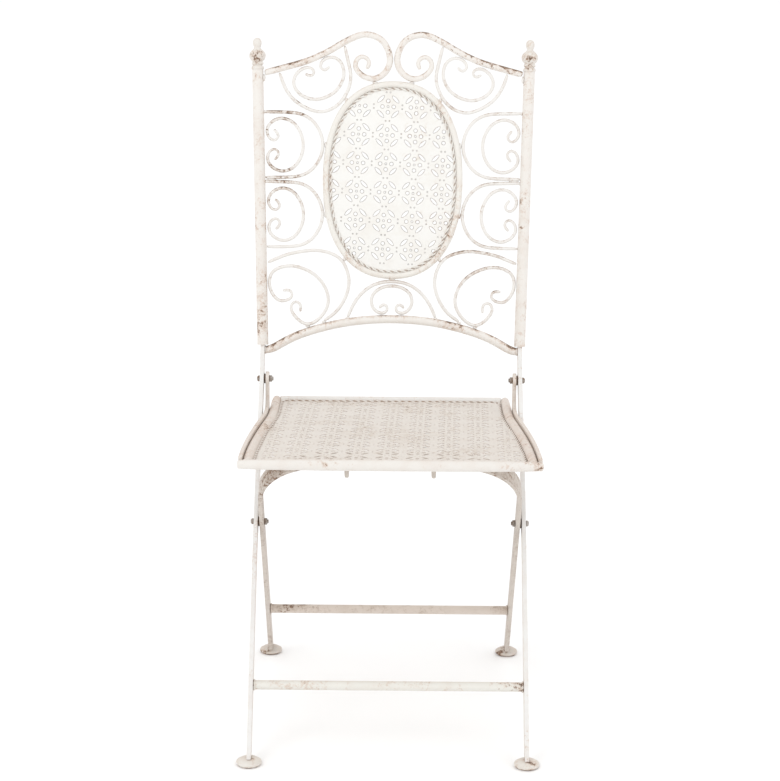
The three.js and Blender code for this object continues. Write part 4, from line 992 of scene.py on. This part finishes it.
def seat_outline(grow):
    """Outline of the seat, grown from the sheet's own edge, with cut corners."""
    right = []
    length = seat_half_length + grow
    for k in range(SEAT_STATIONS + 1):
        y = (length - SEAT_CORNER) * (2 * k / SEAT_STATIONS - 1)
        right.append((seat_half(y) + grow, y))
    front_x = right[0][0]
    rear_x = right[-1][0]
    right = [(front_x - SEAT_CORNER, -length)] + right + [(rear_x - SEAT_CORNER, length)]
    return right + [(-x, y) for x, y in reversed(right)]


seat_rope = twisted_wire("twisted_border_seat", seat_outline(SEAT_ROPE_OUT), seat_plane)
seat_rope_paint = peeling_paint(
    "seat_twist_paint", SAND, SAND_TAN, 0.10, creases=0.05, dirt_and_shade=0.2, groove_rust_and_shade=0.95
)
finished(seat_rope, seat_rope_paint, "seat", "seat_rope")


def inside_seat(x, y):
    """Whether a point lies where the seat sheet is punched."""
    return abs(y) < seat_half_length + SEAT_HOLES_OUT and abs(x) < seat_half(y) + SEAT_HOLES_OUT


seat_marks = [((0.0745, -0.2150, 0.4490), 0.06, 0.14), ((-0.0823, -0.2150, 0.4490), 0.05, 0.12)]
seat_paint = peeling_paint(
    "seat_sheet_paint", SAND, SAND_TAN, 0.13, patchy=0.8, creases=0.0, dirt_and_shade=0.0, marks=seat_marks
)
seat_burr_paint = peeling_paint("seat_burr_paint", BURR_SAND, SAND_TAN, 0.10, creases=0.0, dirt_and_shade=0.0)
seat_sheet = punched(
    "punched_seat", seat_outline(SEAT_SHEET_OUT), inside_seat, (0.0, 0.0),
    seat_half_length, seat_plane, seat_paint, seat_burr_paint,
)
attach(seat_sheet, "seat")
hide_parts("seat_sheet")


# The rear legs are one flat strap bent into a bow that carries the seat from below.
# Two rods under the seat slide on it, each with a short peg that stops it. The paint is thin and stained,
# and the bow is painted darker near the seat, more on the left, as painted shade.
TAUPE = (0.60, 0.545, 0.49, 1.0)
TAUPE_TAN = (0.43, 0.35, 0.29, 1.0)
BOW_EDGE = 0.0008
ROD_SWELL = 0.0002
# These marks paint shade on the bow under the seat, stronger on the left, through the wear.
bow_shade_marks = [((-0.13, -0.12, 0.43), 0.13, 0.30), ((0.14, -0.12, 0.43), 0.09, 0.14)]
bow_paint = peeling_paint(
    "bow_paint", TAUPE, TAUPE_TAN, 0.11, rubbed=0.14, tide=(0.16, 0.02, 0.10), marks=bow_shade_marks
)
bow = forged("rear_bow", "bow", corners=45, edge=BOW_EDGE)
finished(bow, bow_paint, "rear_legs", "rear_bow")
rod_paint = peeling_paint("rod_paint", TAUPE, TAUPE_TAN, 0.13, rubbed=0.1)
for side in ("left", "right"):
    rod = forged(f"seat_rod_{side}", f"rod_{side}", swell=ROD_SWELL, corners=50)
    finished(rod, rod_paint, "seat", f"seat_rod_{side}")


# Bolts with domed heads and hexagon nuts join the bars at the pivots, with plain washers between them.
# They were painted with the chair, and turning has left them dark and rusty.
BOLT_GREY = (0.40, 0.37, 0.34, 1.0)
BOLT_BROWN = (0.24, 0.19, 0.155, 1.0)
BOLT_EDGE = 0.0003
bolt_paint = peeling_paint("bolt_rust", BOLT_GREY, BOLT_BROWN, 0.30, rubbed=0.05)
for pivot in ("cross_pivot", "seat_pivot"):
    for side in ("left", "right"):
        for kind in ("bolt", "washer"):
            node = f"{pivot}_{kind}_{side}"
            fastener = forged(node, node.replace("pivot", "pin"), rounds=1, corners=28, edge=BOLT_EDGE)
            finished(fastener, bolt_paint, "back_frame", node)
